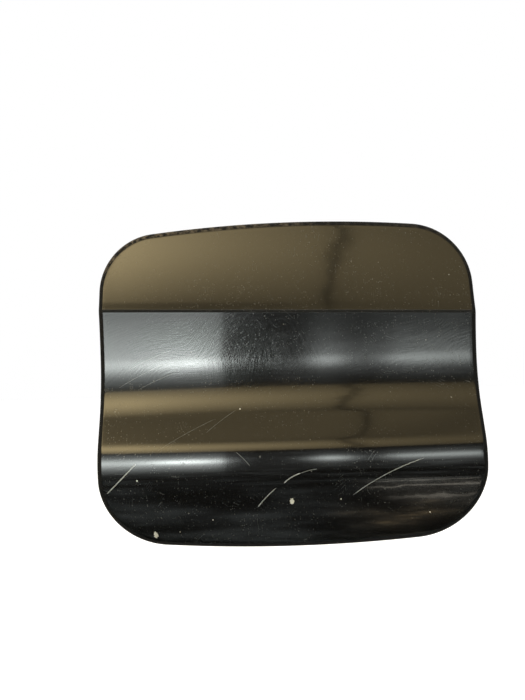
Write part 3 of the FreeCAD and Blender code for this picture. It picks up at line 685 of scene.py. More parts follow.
class Effects:
    """Surface effects that several finishes share, each built once as a node group."""

    FACE: ClassVar[Triple] = (1.0, 0.0, 1.0)
    FACE_NORMAL: ClassVar[Triple] = (0.0, 1.0, 0.0)

    def __init__(self) -> None:
        """Build every effect."""
        self.specks = self._specks()
        self.grain = self._grain()
        self.hairlines = self._hairlines()
        self.swirls = self._swirls()
        self.scratch = self._scratch()
        self.chip = self._chip()

    @staticmethod
    def _specks() -> bpy.types.NodeTree:
        """Build scattered dust specks.

        Returns:
            A group with a mask, by the share of cells that hold a speck and the specks' size.
        """
        smallest = 0.3
        soft_edge = (0.6, 1.0)
        net, given, result = new_group(
            "specks", {"Vector": ORIGIN, "Scale": 400.0, "Share": 0.1, "Size": 0.2}, ("Mask",)
        )
        dotted = net.node("ShaderNodeTexVoronoi", in_Vector=given["Vector"], in_Scale=given["Scale"])
        cells = dotted.outputs
        chosen = net.node("ShaderNodeSeparateColor", in_Color=cells["Color"]).outputs
        picked = net.math("LESS_THAN", chosen["Red"], given["Share"])
        reach = net.times(given["Size"], net.add(chosen["Green"], smallest))
        spot = net.fall(net.over(cells["Distance"], reach), soft_edge)
        net.feed(result["Mask"], net.times(spot, picked))
        return net.tree

    @staticmethod
    def _grain() -> bpy.types.NodeTree:
        """Build the fine pebbled grain of a spark-eroded mould.

        Returns:
            A group with the grain's height and a cloudy shade.
        """
        cloud_share = 0.03
        net, given, result = new_group(
            "mould_grain", {"Vector": ORIGIN, "Scale": 1500.0}, ("Height", "Shade")
        )
        cells = net.node("ShaderNodeTexVoronoi", feature="SMOOTH_F1", in_Vector=given["Vector"],
                         in_Scale=given["Scale"])
        cloud = net.noise(given["Vector"], net.times(given["Scale"], cloud_share), detail=5.0)
        net.feed(result["Height"], cells.outputs["Distance"])
        net.feed(result["Shade"], cloud.outputs["Fac"])
        return net.tree

    @staticmethod
    def _hairlines() -> bpy.types.NodeTree:
        """Build fine lines along one direction, as drawing or rubbing leaves them.

        Returns:
            A group with a mask, by how finely each axis is divided.
        """
        contrast = (0.3, 0.7)
        net, given, result = new_group(
            "hairlines", {"Vector": ORIGIN, "Stretch": (40.0, 3000.0, 3000.0), "Fineness": 1.0}, ("Mask",)
        )
        drawn = net.vector("MULTIPLY", given["Vector"], given["Stretch"])
        lines = net.noise(drawn, given["Fineness"], detail=3.0, roughness=0.6)
        net.feed(result["Mask"], net.ramp(lines.outputs["Fac"], contrast))
        return net.tree

    def _swirls(self) -> bpy.types.NodeTree:
        """Build broken rings of wiping marks round scattered centres.

        Returns:
            A group with a mask, by the scale of the centres, rings in each and breaks.
        """
        wobble_scale = 30.0
        wobble_size = 0.02
        ring_middle = 0.5
        line_width = 0.12
        kept_share = (0.54, 0.62)
        net, given, result = new_group(
            "wiping_swirls", {"Vector": ORIGIN, "Scale": 18.0, "Rings": 52.0, "Breaks": 150.0}, ("Mask",)
        )
        flat = net.vector("MULTIPLY", given["Vector"], self.FACE)
        wobble = net.noise(flat, wobble_scale, detail=2.0).outputs["Color"]
        bent = net.vector("ADD", flat, net.scale(wobble, wobble_size))
        cells = net.node("ShaderNodeTexVoronoi", in_Vector=bent, in_Scale=given["Scale"])
        turns = net.math("FRACT", net.times(cells.outputs["Distance"], given["Rings"]))
        line = net.fall(net.math("ABSOLUTE", net.less(turns, ring_middle)), (0.0, line_width))
        broken = net.noise(flat, given["Breaks"], detail=4.0, roughness=0.7).outputs["Fac"]
        net.feed(result["Mask"], net.times(line, net.ramp(broken, kept_share)))
        return net.tree

    def _scratch(self) -> bpy.types.NodeTree:
        """Build one bowed scratch between two places on the face.

        Returns:
            A group with a mask, by the scratch's ends, bow and width.
        """
        middle_gain = 4.0
        raggedness = 900.0
        thinnest = 0.2
        end_width = 0.25
        taper_share = 0.08
        soft_edge = (0.5, 1.0)
        net, given, result = new_group(
            "scratch",
            {"Vector": ORIGIN, "Start": ORIGIN, "End": ORIGIN, "Bow": 0.0, "Width": 0.3 * MM},
            ("Mask",),
        )
        flat, start, end = (
            net.vector("MULTIPLY", given[name], self.FACE) for name in ("Vector", "Start", "End")
        )
        along = net.vector("SUBTRACT", end, start)
        offset = net.vector("SUBTRACT", flat, start)
        square = net.measure("DOT_PRODUCT", along, along)
        share = net.math("DIVIDE", net.measure("DOT_PRODUCT", offset, along), square, clamp=True)
        inward = net.times(share, net.less(1.0, share))
        aside = net.vector("NORMALIZE", net.vector("CROSS_PRODUCT", along, self.FACE_NORMAL))
        bend = net.scale(aside, net.times(inward, middle_gain, given["Bow"]))
        nearest = net.vector("ADD", net.scale(along, share), bend)
        gap = net.measure("DISTANCE", offset, nearest)
        ragged = net.noise(flat, raggedness, detail=2.0).outputs["Fac"]
        width = net.times(given["Width"], net.add(ragged, thinnest))
        taper = net.ramp(inward, (0.0, taper_share), end_width, 1.0)
        net.feed(result["Mask"], net.fall(net.over(gap, net.times(width, taper)), soft_edge))
        return net.tree

    @staticmethod
    def _chip() -> bpy.types.NodeTree:
        """Build one ragged paint chip.

        Returns:
            A group with a mask, by the chip's centre, stretch, radius and raggedness.
        """
        raggedness = 1400.0
        soft_edge = (0.85, 1.0)
        net, given, result = new_group(
            "chip",
            {"Vector": ORIGIN, "Centre": ORIGIN, "Stretch": (1.0, 0.0, 1.0), "Radius": 1.0 * MM,
             "Ragged": 0.5},
            ("Mask",),
        )
        offset = net.vector("SUBTRACT", given["Vector"], given["Centre"])
        reach = net.measure("LENGTH", net.vector("MULTIPLY", offset, given["Stretch"]))
        ragged = net.noise(given["Vector"], raggedness, detail=3.0).outputs["Fac"]
        wander = net.times(net.less(ragged, NOISE_MEAN), given["Ragged"])
        near = net.add(net.over(reach, given["Radius"]), wander)
        net.feed(result["Mask"], net.fall(near, soft_edge))
        return net.tree


# Finishes


@dataclass(frozen=True)
class Specks:
    """A sprinkling of specks: cells in a metre, share of cells used, size in cells."""

    scale: float
    share: float
    size: float

    def mask(self, net: Net, effects: Effects, place: Socket) -> Socket:
        """Return the mask of the specks."""
        sizes = {"Scale": self.scale, "Share": self.share, "Size": self.size}
        return net.use(effects.specks, Vector=place, **sizes)["Mask"]


@dataclass(frozen=True)
class ScratchMark:
    """A scratch seen in the photograph, by its end pixels."""

    start: Pixel
    end: Pixel
    bow: float = 0.0
    width: float = 0.45 * MM
    strength: float = 1.0


@dataclass(frozen=True)
class ChipMark:
    """A paint chip seen in the photograph, by its middle pixel."""

    centre: Pixel
    radius: float
    stretch: Triple = (1.0, 0.0, 1.0)
    ragged: float = 0.9


@dataclass(frozen=True)
class GlossPaint:
    """Polished black paint under clear lacquer, with wiping marks, dust, scratches and chips.

    The dull strip and the matt line are placed by height over the slanting crease.
    """

    camera: PhotoCamera
    colour: Colour = (0.0042, 0.0042, 0.0042)
    haze: float = 0.10
    shine: float = 0.40
    lacquer: float = 0.5
    lacquer_roughness: float = 0.03
    primer: Colour = (0.56, 0.55, 0.49)
    scratch_colour: Colour = (0.42, 0.44, 0.43)
    dust: Colour = (0.28, 0.28, 0.26)
    cloud_scale: float = 32.0
    fine_swirls: Triple = (29.0, 44.0, 230.0)
    fine_share: float = 0.7
    wiped_patch: Limits = (0.40, 0.62)
    wiped_tint: float = 0.07
    wiped_roughness: float = 0.12
    wiped_bareness: float = 0.25
    wiped_bump: float = 0.4
    dust_specks: Specks = Specks(420.0, 0.05, 0.16)
    dust_tint: float = 0.35
    powder_specks: Specks = Specks(1250.0, 0.30, 0.34)
    powder_patch: Limits = (0.30, 0.70)
    powder_least: float = 0.25
    powder_tint: float = 0.16
    powder_height: float = 0.8
    chip_roughness: float = 0.75
    chip_depth: float = 3.0
    scratch_bareness: float = 0.8
    peel_scale: float = 260.0
    peel_height: float = 0.35
    paint_bump: float = 0.06
    rubbed_bump: float = 0.62
    bump_depth: float = 0.02 * MM
    strip_start: Limits = (0.0, 0.6 * MM)
    strip_end: Limits = (3.0 * MM, 5.0 * MM)
    strip_side: Limits = (-8.0 * MM, 12.0 * MM)
    strip_right: float = 0.25
    line_start: Limits = (-0.35 * MM, -0.1 * MM)
    line_end: Limits = (0.9 * MM, 1.3 * MM)
    line_roughness: float = 0.95
    scuff_ways: tuple[tuple[float, float], ...] = ((24.0, 1.0), (-80.0, 0.8), (50.0, 0.8))
    scuff_stretch: Triple = (90.0, 1.0, 1500.0)
    scuff_wander: float = 24.0
    scuff_bend: float = 0.025
    scuff_patch: Limits = (0.40, 0.56)
    scuff_least: float = 0.45
    zone_start: Limits = (-6.0 * MM, 6.0 * MM)
    zone_fade: float = 4.0 * MM
    zone_least: float = 0.3
    scratches: tuple[ScratchMark, ...] = (
        ScratchMark((107, 494), (136, 464), 0.0, 0.42 * MM, 0.8),
        ScratchMark((258, 507), (276, 488), 0.3 * MM, 0.40 * MM, 0.7),
        ScratchMark((284, 483), (301, 473), 0.5 * MM, 0.42 * MM, 0.7),
        ScratchMark((301, 473), (317, 469), 0.2 * MM, 0.30 * MM, 0.3),
        ScratchMark((353, 495), (424, 458), 1.6 * MM, 0.34 * MM, 0.5),
        ScratchMark((119, 388), (164, 364), 0.4 * MM, 0.26 * MM, 0.16),
        ScratchMark((138, 390), (179, 371), 0.3 * MM, 0.26 * MM, 0.16),
        ScratchMark((126, 372), (172, 350), 0.6 * MM, 0.24 * MM, 0.14),
        ScratchMark((159, 450), (215, 419), 0.5 * MM, 0.24 * MM, 0.09),
        ScratchMark((206, 433), (236, 410), 0.3 * MM, 0.24 * MM, 0.10),
        ScratchMark((236, 452), (250, 466), 0.2 * MM, 0.24 * MM, 0.20),
    )
    chips: tuple[ChipMark, ...] = (
        ChipMark((292, 501), 1.05 * MM, (1.2, 0.0, 0.8), 1.5),
        ChipMark((156, 535), 1.3 * MM, (1.5, 0.0, 0.85), 2.2),
        ChipMark((341, 499), 0.36 * MM),
        ChipMark((137, 481), 0.40 * MM),
        ChipMark((213, 520), 0.26 * MM),
        ChipMark((180, 532), 0.24 * MM),
        ChipMark((240, 409), 0.30 * MM),
        ChipMark((430, 512), 0.30 * MM),
    )

    def build(self, effects: Effects) -> Material:
        """Make the paint.

        Args:
            effects: The shared surface effects.

        Returns:
            The material.
        """
        material, net, surface, place = new_material("gloss_black_paint")
        marks = self._marks(net, effects, place)
        chipped = self._chips(net, effects, place)
        cloud = net.noise(place, self.cloud_scale, detail=2.0).outputs["Fac"]
        wiped = self._wiped(net, effects, place, cloud)
        dust = self.dust_specks.mask(net, effects, place)
        patch = net.ramp(cloud, self.powder_patch, self.powder_least, 1.0)
        powder = net.times(self.powder_specks.mask(net, effects, place), patch)
        across, height = self._over_crease(net, place)
        strip = self._dull_strip(net, across, height)
        lined = net.times(net.ramp(height, self.line_start), net.fall(height, self.line_end))

        colour = net.mix(net.times(wiped, self.wiped_tint), self.colour, self.scratch_colour)
        colour = net.mix(net.times(dust, self.dust_tint), colour, self.dust)
        colour = net.mix(net.times(powder, self.powder_tint), colour, self.dust)
        colour = net.mix(marks, colour, self.scratch_colour)
        net.feed(surface.inputs["Base Color"], net.mix(chipped, colour, self.primer))

        rough = net.add(net.times(wiped, self.wiped_roughness), self.haze)
        rough = net.most(rough, net.times(chipped, self.chip_roughness))
        net.feed(surface.inputs["Roughness"], net.most(rough, net.times(lined, self.line_roughness)))

        bare = net.most(chipped, net.times(marks, self.scratch_bareness))
        bare = net.most(bare, net.times(wiped, self.wiped_bareness), strip, lined)
        clear = net.math("SUBTRACT", 1.0, bare, clamp=True)
        net.feed(surface.inputs["Coat Weight"], net.times(clear, self.lacquer))
        surface.inputs["Coat Roughness"].default_value = self.lacquer_roughness
        surface.inputs["Specular IOR Level"].default_value = self.shine

        peel = net.times(net.noise(place, self.peel_scale, detail=2.0).outputs["Fac"], self.peel_height)
        pitted = net.less(peel, net.add(marks, net.times(chipped, self.chip_depth)))
        normal = net.bump(pitted, self.paint_bump, self.bump_depth)
        normal = net.bump(wiped, self.wiped_bump, self.bump_depth, normal)
        scuffed = net.times(self._scuffs(net, effects, place), self._scuffed_zone(net, place))
        rubbed = net.add(scuffed, net.times(powder, self.powder_height))
        net.feed(surface.inputs["Normal"], net.bump(rubbed, self.rubbed_bump, self.bump_depth, normal))
        return material

    def _wiped(self, net: Net, effects: Effects, place: Socket, cloud: Socket) -> Socket:
        """Return the mask of the wiping rings, in patches.

        Args:
            net: The layer over the material's tree.
            effects: The shared surface effects.
            place: Object coordinates.
            cloud: Noise that sets the patches.

        Returns:
            The mask.
        """
        broad = net.use(effects.swirls, Vector=place)["Mask"]
        sizes = dict(zip(("Scale", "Rings", "Breaks"), self.fine_swirls))
        fine = net.use(effects.swirls, Vector=place, **sizes)["Mask"]
        rings = net.most(broad, net.times(fine, self.fine_share))
        return net.times(rings, net.ramp(cloud, self.wiped_patch))

    def _over_crease(self, net: Net, place: Socket) -> tuple[Socket, Socket]:
        """Return a place's distance across the flap and its height over the slanting crease.

        Args:
            net: The layer over the material's tree.
            place: Object coordinates.

        Returns:
            Distance across and height.
        """
        contour, centre = self.camera.contour, self.camera.centre
        axes = net.split(place)
        across = net.less(axes["X"], centre.x)
        height = net.add(net.less(axes["Z"], centre.z), net.times(across, contour.crease_fall()))
        return across, net.less(height, contour.crease_height)

    def _dull_strip(self, net: Net, across: Socket, height: Socket) -> Socket:
        """Return the mask of the unpolished strip just above the crease, strongest at the left.

        Args:
            net: The layer over the material's tree.
            across: Distance across the flap.
            height: Height over the crease.

        Returns:
            The mask.
        """
        strip = net.times(net.ramp(height, self.strip_start), net.fall(height, self.strip_end))
        return net.times(strip, net.ramp(across, self.strip_side, 1.0, self.strip_right))

    def _scuffs(self, net: Net, effects: Effects, place: Socket) -> Socket:
        """Return the mask of fine wiping lines that bend and cross.

        Args:
            net: The layer over the material's tree.
            effects: The shared surface effects.
            place: Object coordinates.

        Returns:
            The mask.
        """
        wander = net.noise(place, self.scuff_wander, detail=1.0).outputs["Color"]
        bent = net.vector("ADD", place, net.scale(wander, self.scuff_bend))
        patches = net.node("ShaderNodeSeparateColor", in_Color=wander).outputs
        ways = []
        for patch, (angle, strength) in zip(patches, self.scuff_ways):
            turned = net.node("ShaderNodeVectorRotate", rotation_type="Y_AXIS", in_Vector=bent)
            turned.inputs["Angle"].default_value = math.radians(angle)
            drawn = turned.outputs["Vector"]
            lines = net.use(effects.hairlines, Vector=drawn, Stretch=self.scuff_stretch)["Mask"]
            share = net.ramp(patch, self.scuff_patch, self.scuff_least * strength, strength)
            ways.append(net.times(lines, share))
        return net.add(*ways)

    def _scuffed_zone(self, net: Net, place: Socket) -> Socket:
        """Return how strongly the face is scuffed: most in the scoop, where wiping ends.

        Args:
            net: The layer over the material's tree.
            place: Object coordinates.

        Returns:
            The strength.
        """
        crease = self.camera.contour.crease_height
        height = net.less(net.split(place)["Z"], self.camera.centre.z)
        low = net.ramp(height, self.zone_start, self.zone_least, 1.0)
        high = net.ramp(height, (crease, crease + self.zone_fade), 1.0, self.zone_least)
        return net.times(low, high)

    def _marks(self, net: Net, effects: Effects, place: Socket) -> Socket:
        """Return the mask of the single scratches.

        Args:
            net: The layer over the material's tree.
            effects: The shared surface effects.
            place: Object coordinates.

        Returns:
            The mask.
        """
        masks = []
        for mark in self.scratches:
            start, end = self.camera.on_face(mark.start), self.camera.on_face(mark.end)
            sizes = {"Start": start, "End": end, "Bow": mark.bow, "Width": mark.width}
            one = net.use(effects.scratch, Vector=place, **sizes)
            masks.append(net.times(one["Mask"], mark.strength))
        return net.most(*masks)

    def _chips(self, net: Net, effects: Effects, place: Socket) -> Socket:
        """Return the mask of the paint chips.

        Args:
            net: The layer over the material's tree.
            effects: The shared surface effects.
            place: Object coordinates.

        Returns:
            The mask.
        """
        masks = []
        for chip in self.chips:
            sizes = {"Stretch": chip.stretch, "Radius": chip.radius, "Ragged": chip.ragged}
            one = net.use(effects.chip, Vector=place, Centre=self.camera.on_face(chip.centre), **sizes)
            masks.append(one["Mask"])
        return net.most(*masks)


@dataclass(frozen=True)
class BlotchedRim:
    """The unpolished rim: dull black, with brown blotches that are strongest along the top and towards the
    left.
    """

    centre: Vector
    black: Colour = (0.006, 0.006, 0.006)
    brown: Colour = (0.078, 0.064, 0.046)
    blotch_scale: float = 420.0
    blotch_edge: Limits = (0.42, 0.62)
    left_end: Limits = (-20.0 * MM, 30.0 * MM)
    right_share: float = 0.2
    top_start: Limits = (40.0 * MM, 62.0 * MM)
    low_share: float = 0.06
    black_specks: Specks = Specks(600.0, 0.2, 0.3)
    roughness: float = 0.8
    shine: float = 0.08

    def build(self, effects: Effects) -> Material:
        """Make the rim's finish.

        Args:
            effects: The shared surface effects.

        Returns:
            The material.
        """
        material, net, surface, place = new_material("blotched_rim")
        axes = net.split(place)
        blotch = net.noise(place, self.blotch_scale, detail=5.0, roughness=0.7).outputs["Fac"]
        left = net.ramp(net.less(axes["X"], self.centre.x), self.left_end, 1.0, self.right_share)
        high = net.ramp(net.less(axes["Z"], self.centre.z), self.top_start, self.low_share, 1.0)
        kept = net.less(1.0, self.black_specks.mask(net, effects, place))
        # Brown blotches, strongest along the top edge and towards the left, with black specks left bare.
        blotches = net.times(net.ramp(blotch, self.blotch_edge), left, high, kept)
        net.feed(surface.inputs["Base Color"], net.mix(blotches, self.black, self.brown))
        surface.inputs["Roughness"].default_value = self.roughness
        surface.inputs["Specular IOR Level"].default_value = self.shine
        return material


@dataclass(frozen=True)
class MouldedPlastic:
    """Grained plastic or rubber with cloudy wear and dust."""

    name: str
    colour: Colour
    worn: Colour
    roughness: float = 0.55
    grain_scale: float = 1500.0
    grain_depth: float = 0.05 * MM
    grain_bump: float = 0.35
    worn_patch: Limits = (0.35, 0.65)
    worn_roughness: float = 0.12
    dust: Colour = (0.22, 0.21, 0.19)
    dust_specks: Specks = Specks(500.0, 0.12, 0.22)
    dust_tint: float = 0.25

    def build(self, effects: Effects) -> Material:
        """Make the plastic's finish.

        Args:
            effects: The shared surface effects.

        Returns:
            The material.
        """
        material, net, surface, place = new_material(self.name)
        grain = net.use(effects.grain, Vector=place, Scale=self.grain_scale)
        dust = self.dust_specks.mask(net, effects, place)
        shade = net.ramp(grain["Shade"], self.worn_patch)
        colour = net.mix(shade, self.colour, self.worn)
        colour = net.mix(net.times(dust, self.dust_tint), colour, self.dust)
        net.feed(surface.inputs["Base Color"], colour)
        rough = net.add(net.times(shade, self.worn_roughness), self.roughness)
        net.feed(surface.inputs["Roughness"], rough)
        net.feed(surface.inputs["Normal"], net.bump(grain["Height"], self.grain_bump, self.grain_depth))
        return material


@dataclass(frozen=True)
class PlatedSteel:
    """Zinc plated or drawn steel with rubbed lines, dull patches and dust."""

    name: str
    colour: Colour
    dull: Colour
    roughness: float = 0.3
    stretch: Triple = (60.0, 2600.0, 2600.0)
    patch_scale: float = 2600.0
    dull_patch: Limits = (0.42, 0.66)
    dull_roughness: float = 0.15
    line_roughness: float = 0.12
    line_bump: float = 0.12
    line_depth: float = 0.01 * MM
    dust: Colour = (0.10, 0.09, 0.07)
    dust_specks: Specks = Specks(700.0, 0.08, 0.2)
    dust_tint: float = 0.4
    dust_cover: float = 0.8

    def build(self, effects: Effects) -> Material:
        """Make the steel's finish.

        Args:
            effects: The shared surface effects.

        Returns:
            The material.
        """
        material, net, surface, place = new_material(self.name)
        lines = net.use(effects.hairlines, Vector=place, Stretch=self.stretch)["Mask"]
        patch = net.use(effects.grain, Vector=place, Scale=self.patch_scale)["Shade"]
        dust = self.dust_specks.mask(net, effects, place)
        dulled = net.ramp(patch, self.dull_patch)
        colour = net.mix(dulled, self.colour, self.dull)
        colour = net.mix(net.times(dust, self.dust_tint), colour, self.dust)
        net.feed(surface.inputs["Base Color"], colour)
        rough = net.add(net.times(lines, self.line_roughness), self.roughness)
        rough = net.add(rough, net.times(dulled, self.dull_roughness))
        net.feed(surface.inputs["Roughness"], rough)
        net.feed(surface.inputs["Metallic"], net.less(1.0, net.times(dust, self.dust_cover)))
        net.feed(surface.inputs["Normal"], net.bump(lines, self.line_bump, self.line_depth))
        return material


# Pieces


def link_mesh(name: str, mesh: bpy.types.Mesh) -> bpy.types.Object:
    """Put a mesh in the scene as an object at the origin.

    Args:
        name: The object's name.
        mesh: The mesh.

    Returns:
        The object.
    """
    made = bpy.data.objects.new(name, mesh)
    bpy.context.scene.collection.objects.link(made)
    return made


@dataclass
class OuterPanel:
    """The painted panel, modelled from its contour and outline."""

    INSIDE_ONLY: ClassVar[int] = 1
    contour: FlapContour
    outline: FlapOutline
    centre: Vector
    wall: float = 2.5 * MM
    edge_roll: float = 2.5 * MM
    skirt_depth: float = 8.0 * MM
    column_spacing: float = 1.3 * MM
    edge_clearance: float = 0.55
    weld: float = 1e-7
    run_rows: tuple[int, ...] = (40, 7, 18, 30, 9, 24, 30)
    roll_steps: int = 10
    polished_steps: int = 1
    points: list[Vector] = field(default_factory=list)
    quads: list[tuple[int, ...]] = field(default_factory=list)

    def _add(self, across: float, height: float, set_back: float) -> int:
        """Add a point on or behind the face.

        Args:
            across: Distance to the right of the flap's middle.
            height: Height over the flap's middle.
            set_back: How far the point lies behind the face.

        Returns:
            The point's number.
        """
        depth = set_back - self.contour.rise(across, height)
        self.points.append(self.centre + Vector((across, depth, height)))
        return len(self.points) - 1

    def _ring(self, loop: list[Station], reach: float, set_back: float) -> list[int]:
        """Add a ring of points that lies outside a loop by a reach."""
        return [self._add(x + reach * nx, z + reach * nz, set_back) for x, z, nx, nz in loop]

    def _band(self, inner: list[int], outer: list[int]) -> list[int]:
        """Join two rings with quads.

        Args:
            inner: The ring to start from.
            outer: The ring to end at.

        Returns:
            The outer ring.
        """
        count = len(inner)
        for step in range(count):
            after = (step + 1) % count
            self.quads.append((outer[step], outer[after], inner[after], inner[step]))
        return outer

    @staticmethod
    def _crossings(loop: list[Station], across: float) -> list[float]:
        """Return the heights at which a loop crosses an upright line.

        Args:
            loop: The loop.
            across: The line's place across the flap.

        Returns:
            The heights, from the lowest.
        """
        hits = []
        for here, following in zip(loop, loop[1:] + loop[:1]):
            if (here[0] - across) * (following[0] - across) < 0.0:
                share = (across - here[0]) / (following[0] - here[0])
                hits.append(here[1] + share * (following[1] - here[1]))
        return sorted(hits)

    def _flat_points(self, loop: list[Station]) -> list[FacePoint]:
        """Return the places of the face's grid that lie inside a loop.

        Args:
            loop: The loop.

        Returns:
            Places as (across, height).
        """
        clear = self.edge_clearance * self.column_spacing
        half = self.outline.width / 2.0
        columns = int(2.0 * half / self.column_spacing)
        found = []
        for column in range(1, columns):
            across = -half + 2.0 * half * column / columns
            hits = self._crossings(loop, across)
            if len(hits) < 2:
                continue
            low, high = hits[0] + clear, hits[-1] - clear
            for run, rows in zip(self.contour.runs(across), self.run_rows):
                heights = [run.height_at(row / rows) for row in range(rows)]
                found += [(across, height) for height in heights if low < height < high]
        return found

    def _edge(self, loop: list[Station], ring: list[int]) -> tuple[list[int], list[int]]:
        """Roll the face's edge over and carry it back as a skirt.

        Args:
            loop: The loop at which the roll starts.
            ring: The face's points along it.

        Returns:
            The rings along the outer and inner corners of the skirt.
        """
        for step in range(1, self.roll_steps + 1):
            turn = QUARTER_TURN * step / self.roll_steps
            reach = self.edge_roll * math.sin(turn)
            drop = self.edge_roll * (1.0 - math.cos(turn))
            ring = self._band(ring, self._ring(loop, reach, drop))
        outer = self._band(ring, self._ring(loop, self.edge_roll, self.skirt_depth))
        inner = self._band(outer, self._ring(loop, 0.0, self.skirt_depth))
        return outer, inner

    @staticmethod
    def _sharpen(mesh: bpy.types.Mesh, rings: tuple[list[int], ...]) -> None:
        """Mark the edges along rings as sharp.

        Args:
            mesh: The mesh.
            rings: Point numbers along each ring.
        """
        wanted = set()
        for ring in rings:
            for here, following in zip(ring, ring[1:] + ring[:1]):
                wanted.add((min(here, following), max(here, following)))
        for edge in mesh.edges:
            if tuple(sorted(edge.vertices)) in wanted:
                edge.use_edge_sharp = True

    def build(self, paint: Material, rim: Material) -> bpy.types.Object:
        """Model the panel as one closed shell and dress it.

        Args:
            paint: Finish of the polished face.
            rim: Finish of the edge, the skirt and the back.

        Returns:
            The panel.
        """
        loop = self.outline.loop(self.edge_roll)
        count = len(loop)
        flat = [Vector(station[:2]) for station in loop]
        flat += [Vector(place) for place in self._flat_points(loop)]
        border = [(step, (step + 1) % count) for step in range(count)]
        places, _, faces, origins, _, _ = delaunay_2d_cdt(flat, border, [], self.INSIDE_ONLY, self.weld)
        number = {source: new for new, sources in enumerate(origins) for source in sources}
        border_ring = [number[step] for step in range(count)]
        for place in places:
            self._add(place.x, place.y, 0.0)
        skin = [tuple(face) for face in faces]
        sharp = self._edge(loop, border_ring)
        base = len(self.points)
        for place in places:
            self._add(place.x, place.y, self.wall)
        self._band(sharp[1], [base + corner for corner in border_ring])
        lining = [tuple(base + corner for corner in reversed(face)) for face in skin]

        mesh = bpy.data.meshes.new("outer_panel_skin")
        mesh.from_pydata(self.points, [], skin + self.quads + lining)
        total = len(mesh.polygons)
        polished = len(skin) + self.polished_steps * count
        mesh.polygons.foreach_set("use_smooth", [True] * total)
        mesh.polygons.foreach_set("material_index", [0] * polished + [1] * (total - polished))
        self._sharpen(mesh, sharp)
        mesh.materials.append(paint)
        mesh.materials.append(rim)
        panel = link_mesh("painted_panel", mesh)
        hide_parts("outer_panel")
        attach(panel, Body.FLAP.value)
        return panel


@dataclass(frozen=True)
class ButtonForm:
    """Sizes of a domed button on a stem, in the order of the tree's inputs."""

    head_radius: float
    head_height: float
    dome: float
    stem_radius: float
    stem_length: float
    recess_length: float = 0.0
    recess_width: float = 0.0
    recess_depth: float = 0.0


